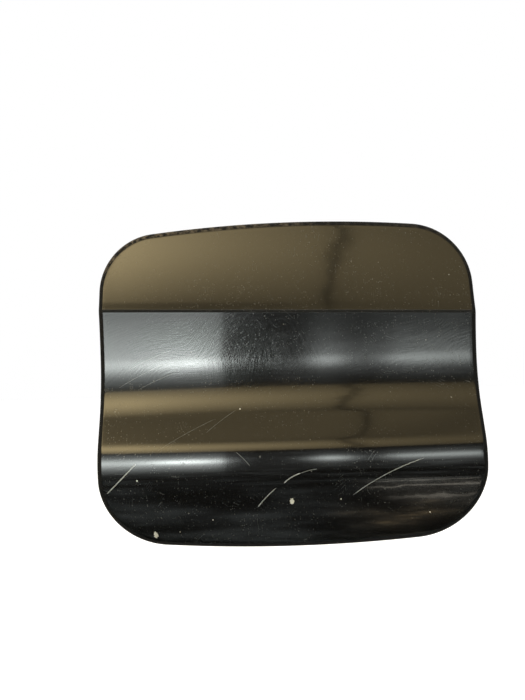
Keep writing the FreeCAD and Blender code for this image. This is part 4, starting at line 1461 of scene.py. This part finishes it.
class ButtonTree:
    """A node tree that sets a domed button, with or without a cross recess, on every point."""

    SIZES = ("Head Radius", "Head Height", "Dome", "Stem Radius", "Stem Length",
             "Recess Length", "Recess Width", "Recess Depth")
    CHOICES = (("Recessed", "NodeSocketBool"), ("Finish", "NodeSocketMaterial"))
    HEAD_MESH = {"in_Vertices": 40, "in_Side_Segments": 5, "in_Fill_Segments": 6}
    STEM_MESH = {"in_Vertices": 24}

    def __init__(self, seed: int = 7) -> None:
        """Build the tree.

        Args:
            seed: Seed of the turn that each button gets.
        """
        self.tree = bpy.data.node_groups.new("domed_buttons", "GeometryNodeTree")
        face = self.tree.interface
        face.new_socket(name="Geometry", in_out="OUTPUT", socket_type="NodeSocketGeometry")
        face.new_socket(name="Geometry", in_out="INPUT", socket_type="NodeSocketGeometry")
        self.sockets = {}
        for name, kind in (*((size, "NodeSocketFloat") for size in self.SIZES), *self.CHOICES):
            self.sockets[name] = face.new_socket(name=name, in_out="INPUT", socket_type=kind).identifier
        net = Net(self.tree)
        given = net.node("NodeGroupInput").outputs
        self._place(net, given, self._button(net, given), seed)

    def _head(self, net: Net, given: bpy.types.bpy_prop_collection) -> Socket:
        """Return a domed head that stands on its seat.

        Args:
            net: The layer over the tree.
            given: The tree's inputs.

        Returns:
            The head.
        """
        height = given["Head Height"]
        drum = net.node("GeometryNodeMeshCylinder", **self.HEAD_MESH, in_Radius=given["Head Radius"],
                        in_Depth=height)
        at = net.split(net.node("GeometryNodeInputPosition").outputs[0])
        squares = net.add(net.math("POWER", at["X"], 2.0), net.math("POWER", at["Y"], 2.0))
        share = net.over(squares, net.math("POWER", given["Head Radius"], 2.0))
        upward = net.add(net.over(at["Z"], height), 0.5)
        drop = net.times(net.math("POWER", share, 2.0), upward, given["Dome"])
        lift = net.join(in_Z=net.less(net.times(height, 0.5), drop))
        domed = net.node("GeometryNodeSetPosition", in_Geometry=drum.outputs["Mesh"], in_Offset=lift)
        return domed.outputs[0]

    @staticmethod
    def _recessed(net: Net, given: bpy.types.bpy_prop_collection, head: Socket) -> Socket:
        """Return the head with a cross recess, where one is asked for.

        Args:
            net: The layer over the tree.
            given: The tree's inputs.
            head: The plain head.

        Returns:
            The plain or recessed head.
        """
        deep = net.times(given["Recess Depth"], 2.0)
        top = net.join(in_Z=given["Head Height"])
        cut = net.node("GeometryNodeMeshBoolean", operation="DIFFERENCE", solver="EXACT")
        net.feed(cut.inputs["Mesh 1"], head)
        for first, second in (("Recess Length", "Recess Width"), ("Recess Width", "Recess Length")):
            size = net.join(in_X=given[first], in_Y=given[second], in_Z=deep)
            cube = net.node("GeometryNodeMeshCube", in_Size=size).outputs["Mesh"]
            arm = net.node("GeometryNodeTransform", in_Geometry=cube, in_Translation=top)
            net.feed(cut.inputs["Mesh 2"], arm.outputs[0])
        choice = net.node("GeometryNodeSwitch", input_type="GEOMETRY", in_Switch=given["Recessed"],
                          in_False=head, in_True=cut.outputs["Mesh"])
        return choice.outputs[0]

    def _button(self, net: Net, given: bpy.types.bpy_prop_collection) -> Socket:
        """Return one button, turned so that its head faces into the car.

        Args:
            net: The layer over the tree.
            given: The tree's inputs.

        Returns:
            The button.
        """
        head = self._recessed(net, given, self._head(net, given))
        rod = net.node("GeometryNodeMeshCylinder", **self.STEM_MESH, in_Radius=given["Stem Radius"],
                       in_Depth=given["Stem Length"])
        sink = net.join(in_Z=net.times(given["Stem Length"], -0.5))
        stem = net.node("GeometryNodeTransform", in_Geometry=rod.outputs["Mesh"], in_Translation=sink)
        whole = net.node("GeometryNodeJoinGeometry")
        net.feed(whole.inputs[0], head)
        net.feed(whole.inputs[0], stem.outputs[0])
        turned = net.node("GeometryNodeTransform", in_Geometry=whole.outputs[0],
                          in_Rotation=(-QUARTER_TURN, 0.0, 0.0))
        return turned.outputs[0]

    @staticmethod
    def _place(net: Net, given: bpy.types.bpy_prop_collection, button: Socket, seed: int) -> None:
        """Set the button on every point, each with its own turn, and give it its finish.

        Args:
            net: The layer over the tree.
            given: The tree's inputs.
            button: The button.
            seed: Seed of the turns.
        """
        spin = net.node("FunctionNodeRandomValue", data_type="FLOAT_VECTOR", in_Seed=seed, in_0=ORIGIN,
                        in_1=(0.0, math.pi, 0.0))
        placed = net.node("GeometryNodeInstanceOnPoints", in_Points=given["Geometry"], in_Instance=button,
                          in_Rotation=spin.outputs[0])
        real = net.node("GeometryNodeRealizeInstances", in_Geometry=placed.outputs[0])
        dressed = net.node("GeometryNodeSetMaterial", in_Geometry=real.outputs[0],
                           in_Material=given["Finish"])
        net.node("NodeGroupOutput", in_0=dressed.outputs[0])


@dataclass(frozen=True)
class ButtonSet:
    """Screws or stops that stand for CAD nodes, each seated where its node is."""

    name: str
    nodes: tuple[str, ...]
    form: ButtonForm
    slot: Slot
    smooth_angle: float = 42.0

    def _seats(self) -> list[Triple]:
        """Return the places under the heads.

        Returns:
            One place for each node.
        """
        seats = []
        for node in self.nodes:
            low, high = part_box(node)
            seat = high[1] - self.form.head_height
            seats.append(((low[0] + high[0]) / 2.0, seat, (low[2] + high[2]) / 2.0))
        return seats

    def build(self, buttons: ButtonTree, finish: Material) -> bpy.types.Object:
        """Set the buttons and keep them as a plain mesh.

        Args:
            buttons: The tree that makes them.
            finish: Their finish.

        Returns:
            The buttons, as one piece.
        """
        points = bpy.data.meshes.new(f"{self.name}_places")
        points.from_pydata(self._seats(), [], [])
        holder = link_mesh(f"{self.name}_places", points)
        modifier = holder.modifiers.new("buttons", "NODES")
        modifier.node_group = buttons.tree
        for name, value in zip(ButtonTree.SIZES, astuple(self.form)):
            modifier[buttons.sockets[name]] = value
        modifier[buttons.sockets["Recessed"]] = self.form.recess_depth > 0.0
        modifier[buttons.sockets["Finish"]] = finish
        graph = bpy.context.evaluated_depsgraph_get()
        mesh = bpy.data.meshes.new_from_object(holder.evaluated_get(graph))
        bpy.data.objects.remove(holder)
        mesh.polygons.foreach_set("use_smooth", [True] * len(mesh.polygons))
        mesh.set_sharp_from_angle(angle=math.radians(self.smooth_angle))
        piece = link_mesh(self.name, mesh)
        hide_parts(*self.nodes)
        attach(piece, Body.FLAP.value)
        return piece


class Hardware:
    """Finishes of the pieces whose CAD shape is right, and the screws and stops."""

    SCREWS = ButtonSet(
        "pan_head_screws",
        ("arm_screw_1", "arm_screw_2", "arm_screw_3", "arm_screw_4", "striker_screw_1", "striker_screw_2"),
        ButtonForm(
            head_radius=3.7 * MM,
            head_height=2.4 * MM,
            dome=0.9 * MM,
            stem_radius=1.9 * MM,
            stem_length=8.0 * MM,
            recess_length=4.4 * MM,
            recess_width=0.9 * MM,
            recess_depth=1.3 * MM,
        ),
        Slot.SCREW,
    )
    STOPS = ButtonSet(
        "rubber_stops",
        ("bump_stop_upper_left", "bump_stop_lower_left", "bump_stop_upper_right", "bump_stop_lower_right"),
        ButtonForm(
            head_radius=5.5 * MM,
            head_height=6.0 * MM,
            dome=2.4 * MM,
            stem_radius=2.0 * MM,
            stem_length=4.0 * MM,
        ),
        Slot.RUBBER,
    )
    UPRIGHT_LINES = (2600.0, 2600.0, 60.0)
    CARRIER = MouldedPlastic("carrier_plastic", colour=(0.030, 0.030, 0.031), worn=(0.052, 0.052, 0.052))
    ARM = MouldedPlastic(
        "arm_plastic", colour=(0.040, 0.041, 0.043), worn=(0.066, 0.066, 0.068), roughness=0.45,
        grain_scale=1900.0,
    )
    BUSH = MouldedPlastic(
        "bush_nylon", colour=(0.62, 0.60, 0.54), worn=(0.52, 0.49, 0.42), roughness=0.4,
        grain_scale=2400.0,
    )
    RUBBER = MouldedPlastic(
        "stop_rubber", colour=(0.020, 0.020, 0.020), worn=(0.034, 0.033, 0.032), roughness=0.75,
        grain_scale=2200.0,
    )
    ZINC = PlatedSteel("zinc_bracket", colour=(0.44, 0.45, 0.46), dull=(0.33, 0.33, 0.32))
    STRIKER = PlatedSteel(
        "zinc_striker", colour=(0.46, 0.44, 0.38), dull=(0.33, 0.31, 0.26), roughness=0.32,
        stretch=UPRIGHT_LINES,
    )
    PIN = PlatedSteel(
        "ground_pin", colour=(0.52, 0.52, 0.53), dull=(0.40, 0.40, 0.39), roughness=0.2,
        stretch=UPRIGHT_LINES,
    )
    SPRING = PlatedSteel("spring_wire", colour=(0.36, 0.36, 0.37), dull=(0.22, 0.21, 0.20), roughness=0.28)
    SCREW = PlatedSteel(
        "black_zinc_screw", colour=(0.30, 0.30, 0.31), dull=(0.18, 0.17, 0.16), roughness=0.34
    )
    KEPT = {
        CARRIER: ("inner_carrier",),
        ARM: ("hinge_arm",),
        BUSH: ("hinge_bush_upper", "hinge_bush_lower"),
        ZINC: ("hinge_bracket",),
        STRIKER: ("latch_striker",),
        PIN: ("hinge_pin", "pin_clip"),
        SPRING: ("return_spring",),
    }

    def build(self, effects: Effects) -> None:
        """Dress the kept CAD pieces and build the screws and stops.

        Args:
            effects: The shared surface effects.
        """
        for finish, nodes in self.KEPT.items():
            material = finish.build(effects)
            for node in nodes:
                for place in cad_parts[node].material_slots:
                    place.material = material
                LOG.info("%s: %s", node, material.name)
        buttons = ButtonTree()
        for pieces, finish in ((self.SCREWS, self.SCREW), (self.STOPS, self.RUBBER)):
            made = pieces.build(buttons, finish.build(effects))
            LOG.info("%s: %d faces", made.name, len(made.data.polygons))


# Studio


@dataclass(frozen=True)
class Bell:
    """A soft glow: the angle at its middle, how fast it fades and its strength."""

    centre: float
    width: float
    strength: float = 1.0

    def glow(self, net: Net, angle: Socket) -> Socket:
        """Return the glow at an angle."""
        return net.times(net.bell(angle, self.centre, self.width), self.strength)


@dataclass(frozen=True)
class Span:
    """An even glow: the angles at its ends, how soft they are and its strength."""

    low: float
    high: float
    soft: float
    strength: float = 1.0

    def glow(self, net: Net, angle: Socket) -> Socket:
        """Return the glow at an angle.

        Args:
            net: The layer over the material's tree.
            angle: The angle.

        Returns:
            The glow.
        """
        rise = net.ramp(angle, (self.low - self.soft, self.low + self.soft))
        fall = net.fall(angle, (self.high - self.soft, self.high + self.soft))
        return net.times(rise, fall, self.strength)


@dataclass(frozen=True)
class TentCloth:
    """The tent's glow by direction: warm above, cool lamps at eye level, a dim haze below.

    Lift is degrees up from the flap's middle, turn is degrees to the right.
    """

    centre: Vector
    warm_colour: Colour = (1.0, 0.79, 0.42)
    warm_start: Limits = (20.2, 21.8)
    warm_glow: Bell = Bell(29.0, 6.8, 3.8)
    side_turn: float = -12.2
    side_fade: float = 18.0
    side_most: float = 1.35
    even_level: float = 0.62
    even_side: float = 0.15
    upper_start: Limits = (37.0, 40.0)
    upper_level: float = 0.33
    upper_side: float = 0.35
    seam: Bell = Bell(9.6, 0.9, 0.85)
    seam_step: Limits = (37.4, 40.0)
    seam_shift: float = -3.2
    ripple_scale: float = 14.0
    ripple_size: float = 5.0
    shade: Bell = Bell(38.0, 1.2, 0.3)
    cool_colour: Colour = (0.93, 1.0, 0.97)
    broad_band: tuple[Bell, Bell] = (Bell(4.2, 5.4, 0.5), Bell(2.4, 11.5, 0.5))
    narrow_band: tuple[Bell, Bell] = (Bell(4.2, 4.0, 0.8), Bell(3.5, 9.5, 0.2))
    left_lamp: Span = Span(-30.0, -5.3, 0.5)
    left_strength: float = 10.0
    spot_turn: Bell = Bell(-9.6, 3.2, 15.0)
    spot_lift: Bell = Bell(4.0, 3.2)
    middle_lamp: Bell = Bell(6.4, 2.0, 8.4)
    right_lamp: Span = Span(12.5, 23.0, 2.0, 5.6)
    wall: Span = Span(-14.0, 17.5, 3.0, 0.10)
    haze: Span = Span(-46.0, 17.5, 5.0, 0.75)
    haze_stretch: Triple = (9.0, 9.0, 26.0)
    haze_patch: Limits = (0.48, 0.72)

    def _warm(self, net: Net, way: Socket, lift: Socket, turn: Socket) -> Socket:
        """Return the warm glow above, strongest at the left and broken by a wavy seam.

        Args:
            net: The layer over the material's tree.
            way: The direction.
            lift: Its lift.
            turn: Its turn.

        Returns:
            The glow.
        """
        side = net.math("EXPONENT", net.over(net.less(turn, self.side_turn), -self.side_fade))
        side = net.math("MINIMUM", side, self.side_most)
        bright = net.times(self.warm_glow.glow(net, lift), side)
        even = net.add(net.times(side, self.even_side), self.even_level)
        upper = net.less(self.upper_level, net.times(side, self.upper_side))
        even = net.add(even, net.times(net.ramp(lift, self.upper_start), upper))
        warm = net.times(net.ramp(lift, self.warm_start), net.add(bright, even))
        ripple = net.noise(way, self.ripple_scale, detail=2.0).outputs["Fac"]
        ripple = net.less(ripple, NOISE_MEAN)
        shift = net.ramp(lift, self.seam_step, 0.0, self.seam_shift)
        wavy = net.add(turn, net.times(ripple, self.ripple_size), shift)
        seam = net.less(1.0, self.seam.glow(net, wavy))
        shade = net.less(1.0, self.shade.glow(net, lift))
        return net.times(warm, seam, shade)

    def _cool(self, net: Net, way: Socket, lift: Socket, turn: Socket) -> Socket:
        """Return the cool lamps at eye level, with the wall and the haze round them.

        Args:
            net: The layer over the material's tree.
            way: The direction.
            lift: Its lift.
            turn: Its turn.

        Returns:
            The glow.
        """
        broad = net.add(*(bell.glow(net, lift) for bell in self.broad_band))
        narrow = net.add(*(bell.glow(net, lift) for bell in self.narrow_band))
        left = self.left_lamp.glow(net, turn)
        lamps = net.times(broad, left, self.left_strength)
        spot = net.times(self.spot_turn.glow(net, turn), self.spot_lift.glow(net, lift), left)
        others = net.add(self.middle_lamp.glow(net, turn), self.right_lamp.glow(net, turn))
        stretched = net.vector("MULTIPLY", way, self.haze_stretch)
        streaks = net.noise(stretched, 1.0, detail=5.0, roughness=0.65).outputs["Fac"]
        haze = net.times(self.haze.glow(net, lift), net.ramp(streaks, self.haze_patch))
        return net.add(lamps, net.times(narrow, others), spot, self.wall.glow(net, lift), haze)

    def build(self) -> Material:
        """Make the tent's cloth.

        Returns:
            The material.
        """
        material = bpy.data.materials.new("tent_cloth")
        material.use_nodes = True
        material.node_tree.nodes.clear()
        net = Net(material.node_tree)
        place = net.node("ShaderNodeTexCoord").outputs["Object"]
        way = net.vector("NORMALIZE", net.vector("SUBTRACT", place, tuple(self.centre)))
        axes = net.split(way)
        lift = net.times(net.math("ARCSINE", axes["Z"]), math.degrees(1.0))
        ahead = net.times(axes["Y"], -1.0)
        turn = net.times(net.math("ARCTAN2", axes["X"], ahead), math.degrees(1.0))
        warm = net.scale(self.warm_colour, self._warm(net, way, lift, turn))
        cool = net.scale(self.cool_colour, self._cool(net, way, lift, turn))
        light = net.node("ShaderNodeEmission", in_Color=net.vector("ADD", warm, cool), in_Strength=1.0)
        net.node("ShaderNodeOutputMaterial", in_Surface=light.outputs["Emission"])
        return material


@dataclass(frozen=True)
class FlagCloth:
    """A black cloth with faint streaks, a golden glint and wavy folds for the lower face to mirror.

    The glint and the folds are placed from the flap's middle.
    """

    centre: Vector
    black: Colour = (0.004, 0.004, 0.004)
    streak_stretch: Triple = (7.0, 22.0, 1.0)
    streak_edge: Limits = (0.46, 0.74)
    streak_colour: Colour = (0.9, 1.0, 0.98)
    streak_glow: float = 0.7
    gold: Colour = (6.0, 4.2, 2.0)
    gold_place: Triple = (0.17, -0.30, -0.43)
    gold_reach: Limits = (0.02, 0.13)
    fold_colour: Colour = (1.0, 0.93, 0.78)
    fold_place: Triple = (0.22, -0.46, -0.43)
    fold_reach: Limits = (0.05, 0.12)
    fold_scale: float = 7.0
    fold_waviness: float = 3.5
    fold_detail: float = 3.0
    fold_edge: Limits = (0.88, 1.0)
    fold_glow: float = 4.0

    def _near(self, net: Net, place: Socket, middle: Triple, reach: Limits) -> Socket:
        """Return a mask that fades with distance from a place."""
        return net.fall(net.measure("DISTANCE", place, tuple(self.centre + Vector(middle))), reach)

    def _folds(self, net: Net, place: Socket) -> Socket:
        """Return the glow of wavy folds, to the right of the flap.

        Args:
            net: The layer over the material's tree.
            place: Object coordinates.

        Returns:
            The glow.
        """
        kind = {"wave_type": "BANDS", "bands_direction": "Y"}
        shape = {"in_Scale": self.fold_scale, "in_Distortion": self.fold_waviness,
                 "in_Detail": self.fold_detail, "in_Detail_Scale": self.fold_detail}
        waves = net.node("ShaderNodeTexWave", in_Vector=place, **kind, **shape)
        lines = net.ramp(waves.outputs["Fac"], self.fold_edge)
        return net.times(lines, self._near(net, place, self.fold_place, self.fold_reach), self.fold_glow)

    def build(self) -> Material:
        """Make the flag's cloth.

        Returns:
            The material.
        """
        material, net, surface, place = new_material("black_flag")
        surface.inputs["Base Color"].default_value = (*self.black, 1.0)
        surface.inputs["Roughness"].default_value = 1.0
        surface.inputs["Specular IOR Level"].default_value = 0.0
        stretched = net.vector("MULTIPLY", place, self.streak_stretch)
        cloud = net.noise(stretched, 1.0, detail=6.0, roughness=0.7).outputs["Fac"]
        streak = net.ramp(cloud, self.streak_edge)
        gold = net.times(self._near(net, place, self.gold_place, self.gold_reach), streak)
        glow = net.mix(gold, self.streak_colour, self.gold)
        streaks = net.scale(glow, net.times(streak, self.streak_glow))
        folds = net.scale(self.fold_colour, self._folds(net, place))
        net.feed(surface.inputs["Emission Color"], net.vector("ADD", streaks, folds))
        surface.inputs["Emission Strength"].default_value = 1.0
        return material


@dataclass(frozen=True)
class Softbox:
    """A soft area lamp: its place from the flap's middle, its size and its power."""

    name: str
    place: Triple
    size: tuple[float, float]
    watts: float

    def build(self, centre: Vector) -> None:
        """Make the lamp, facing the flap and out of the camera's sight.

        Args:
            centre: The flap's middle.
        """
        data = bpy.data.lights.new(self.name, "AREA")
        data.shape = "RECTANGLE"
        data.size, data.size_y = self.size
        data.energy = self.watts
        lamp = bpy.data.objects.new(self.name, data)
        bpy.context.scene.collection.objects.link(lamp)
        lamp.location = centre + Vector(self.place)
        lamp.rotation_euler = (-Vector(self.place)).to_track_quat("-Z", "Y").to_euler()
        lamp.visible_camera = False


@dataclass(frozen=True)
class Studio:
    """A white surround, a floor, a soft light tent in front of the flap and fill lamps."""

    centre: Vector
    white: float = 1.0
    ambient: float = 0.55
    floor_drop: float = 0.45
    floor_size: float = 4.0
    floor_front: float = 0.9
    floor_colour: Colour = (0.86, 0.86, 0.86)
    floor_roughness: float = 0.9
    floor_glow: float = 0.6
    flag_half: float = 1.6
    flag_gap: float = 0.02
    flag_clear: float = 0.08
    tent_radius: float = 4.0
    tent_lifts: Limits = (-62.0, 78.0)
    tent_turns: Limits = (-80.0, 80.0)
    tent_rows: int = 50
    tent_columns: int = 60
    lamps: tuple[Softbox, ...] = (
        Softbox("top_softbox", (0.0, -0.5, 1.5), (1.6, 0.8), 16.0),
        Softbox("rear_softbox_left", (-1.2, 1.3, 0.7), (1.0, 1.0), 3.0),
        Softbox("rear_softbox_right", (1.3, 1.2, 0.4), (1.0, 1.0), 2.0),
    )

    def build(self) -> None:
        """Make the whole studio."""
        self._world()
        self._floor()
        self._flag()
        self._tent()
        for lamp in self.lamps:
            lamp.build(self.centre)

    @staticmethod
    def _seen(net: Net) -> Socket:
        """Return 1 on camera, glossy and transmission rays, which see the white surround."""
        path = net.node("ShaderNodeLightPath").outputs
        return net.most(path["Is Camera Ray"], path["Is Glossy Ray"], path["Is Transmission Ray"])

    def _world(self) -> None:
        """Make a surround that looks white and gives an even, softer ambient light."""
        world = bpy.data.worlds.new("white_surround")
        bpy.context.scene.world = world
        world.use_nodes = True
        net = Net(world.node_tree)
        surround = world.node_tree.nodes["Background"]
        lit = net.times(self._seen(net), self.white - self.ambient)
        net.feed(surround.inputs["Strength"], net.add(lit, self.ambient))
        surround.inputs["Color"].default_value = WHITE

    @staticmethod
    def _stage(
        name: str, points: list[Triple | Vector], faces: list[tuple[int, ...]], material: Material, seen: bool
    ) -> None:
        """Make a stage piece.

        Args:
            name: Its name.
            points: Its points.
            faces: Its faces.
            material: Its finish.
            seen: Whether the camera sees it and it casts a shadow.
        """
        mesh = bpy.data.meshes.new(name)
        mesh.from_pydata(points, [], faces)
        mesh.materials.append(material)
        piece = link_mesh(name, mesh)
        piece.visible_camera = seen
        piece.visible_shadow = seen

    def _floor(self) -> None:
        """Make a pale floor that keeps the object's shadow."""
        material, net, surface, _ = new_material("pale_floor")
        surface.inputs["Base Color"].default_value = (*self.floor_colour, 1.0)
        surface.inputs["Roughness"].default_value = self.floor_roughness
        surface.inputs["Emission Color"].default_value = WHITE
        net.feed(surface.inputs["Emission Strength"], net.times(self._seen(net), self.floor_glow))
        half, low = self.floor_size, self.centre.z - self.floor_drop
        front = self.centre.y - self.floor_front
        back = front + 2.0 * half
        corners = [(-half, front, low), (half, front, low), (half, back, low), (-half, back, low)]
        self._stage("floor", corners, [(0, 1, 2, 3)], material, True)

    def _flag(self) -> None:
        """Make a black flag in front of and below the flap, out of the camera's sight."""
        half, low = self.flag_half, self.centre.z - self.floor_drop + self.flag_gap
        front = self.centre.y - self.floor_front - self.flag_gap
        back = self.centre.y - self.flag_clear
        corners = [(-half, front, low), (half, front, low), (half, back, low), (-half, back, low)]
        self._stage("black_flag", corners, [(0, 1, 2, 3)], FlagCloth(self.centre).build(), False)

    def _tent(self) -> None:
        """Make the light tent: a patch of a large sphere that the gloss paint mirrors."""
        rows, columns = self.tent_rows, self.tent_columns
        (lowest, highest), (leftmost, rightmost) = self.tent_lifts, self.tent_turns
        points, faces = [], []
        for row in range(rows + 1):
            lift = math.radians(lowest + (highest - lowest) * row / rows)
            for column in range(columns + 1):
                turn = math.radians(leftmost + (rightmost - leftmost) * column / columns)
                right, ahead = math.sin(turn) * math.cos(lift), math.cos(turn) * math.cos(lift)
                way = Vector((right, -ahead, math.sin(lift)))
                points.append(self.centre + way * self.tent_radius)
        for row in range(rows):
            for column in range(columns):
                first = row * (columns + 1) + column
                faces.append((first, first + 1, first + columns + 2, first + columns + 1))
        self._stage("light_tent", points, faces, TentCloth(self.centre).build(), False)


def main() -> None:
    """Build every piece in order."""
    bpy.context.scene.view_settings.view_transform = "Standard"
    low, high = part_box("outer_panel")
    contour = FlapContour()
    centre = Vector(((low[0] + high[0]) / 2.0, low[1] + contour.crest_rise(), (low[2] + high[2]) / 2.0))
    outline = FlapOutline(width=high[0] - low[0], height=high[2] - low[2])
    camera = PhotoCamera(centre, contour)
    camera.build()
    Studio(centre).build()
    effects = Effects()
    paint = GlossPaint(camera).build(effects)
    rim = BlotchedRim(centre).build(effects)
    panel = OuterPanel(contour, outline, centre).build(paint, rim)
    LOG.info("%s: %d faces", panel.name, len(panel.data.polygons))
    Hardware().build(effects)


if __name__ == "__main__":
    main()
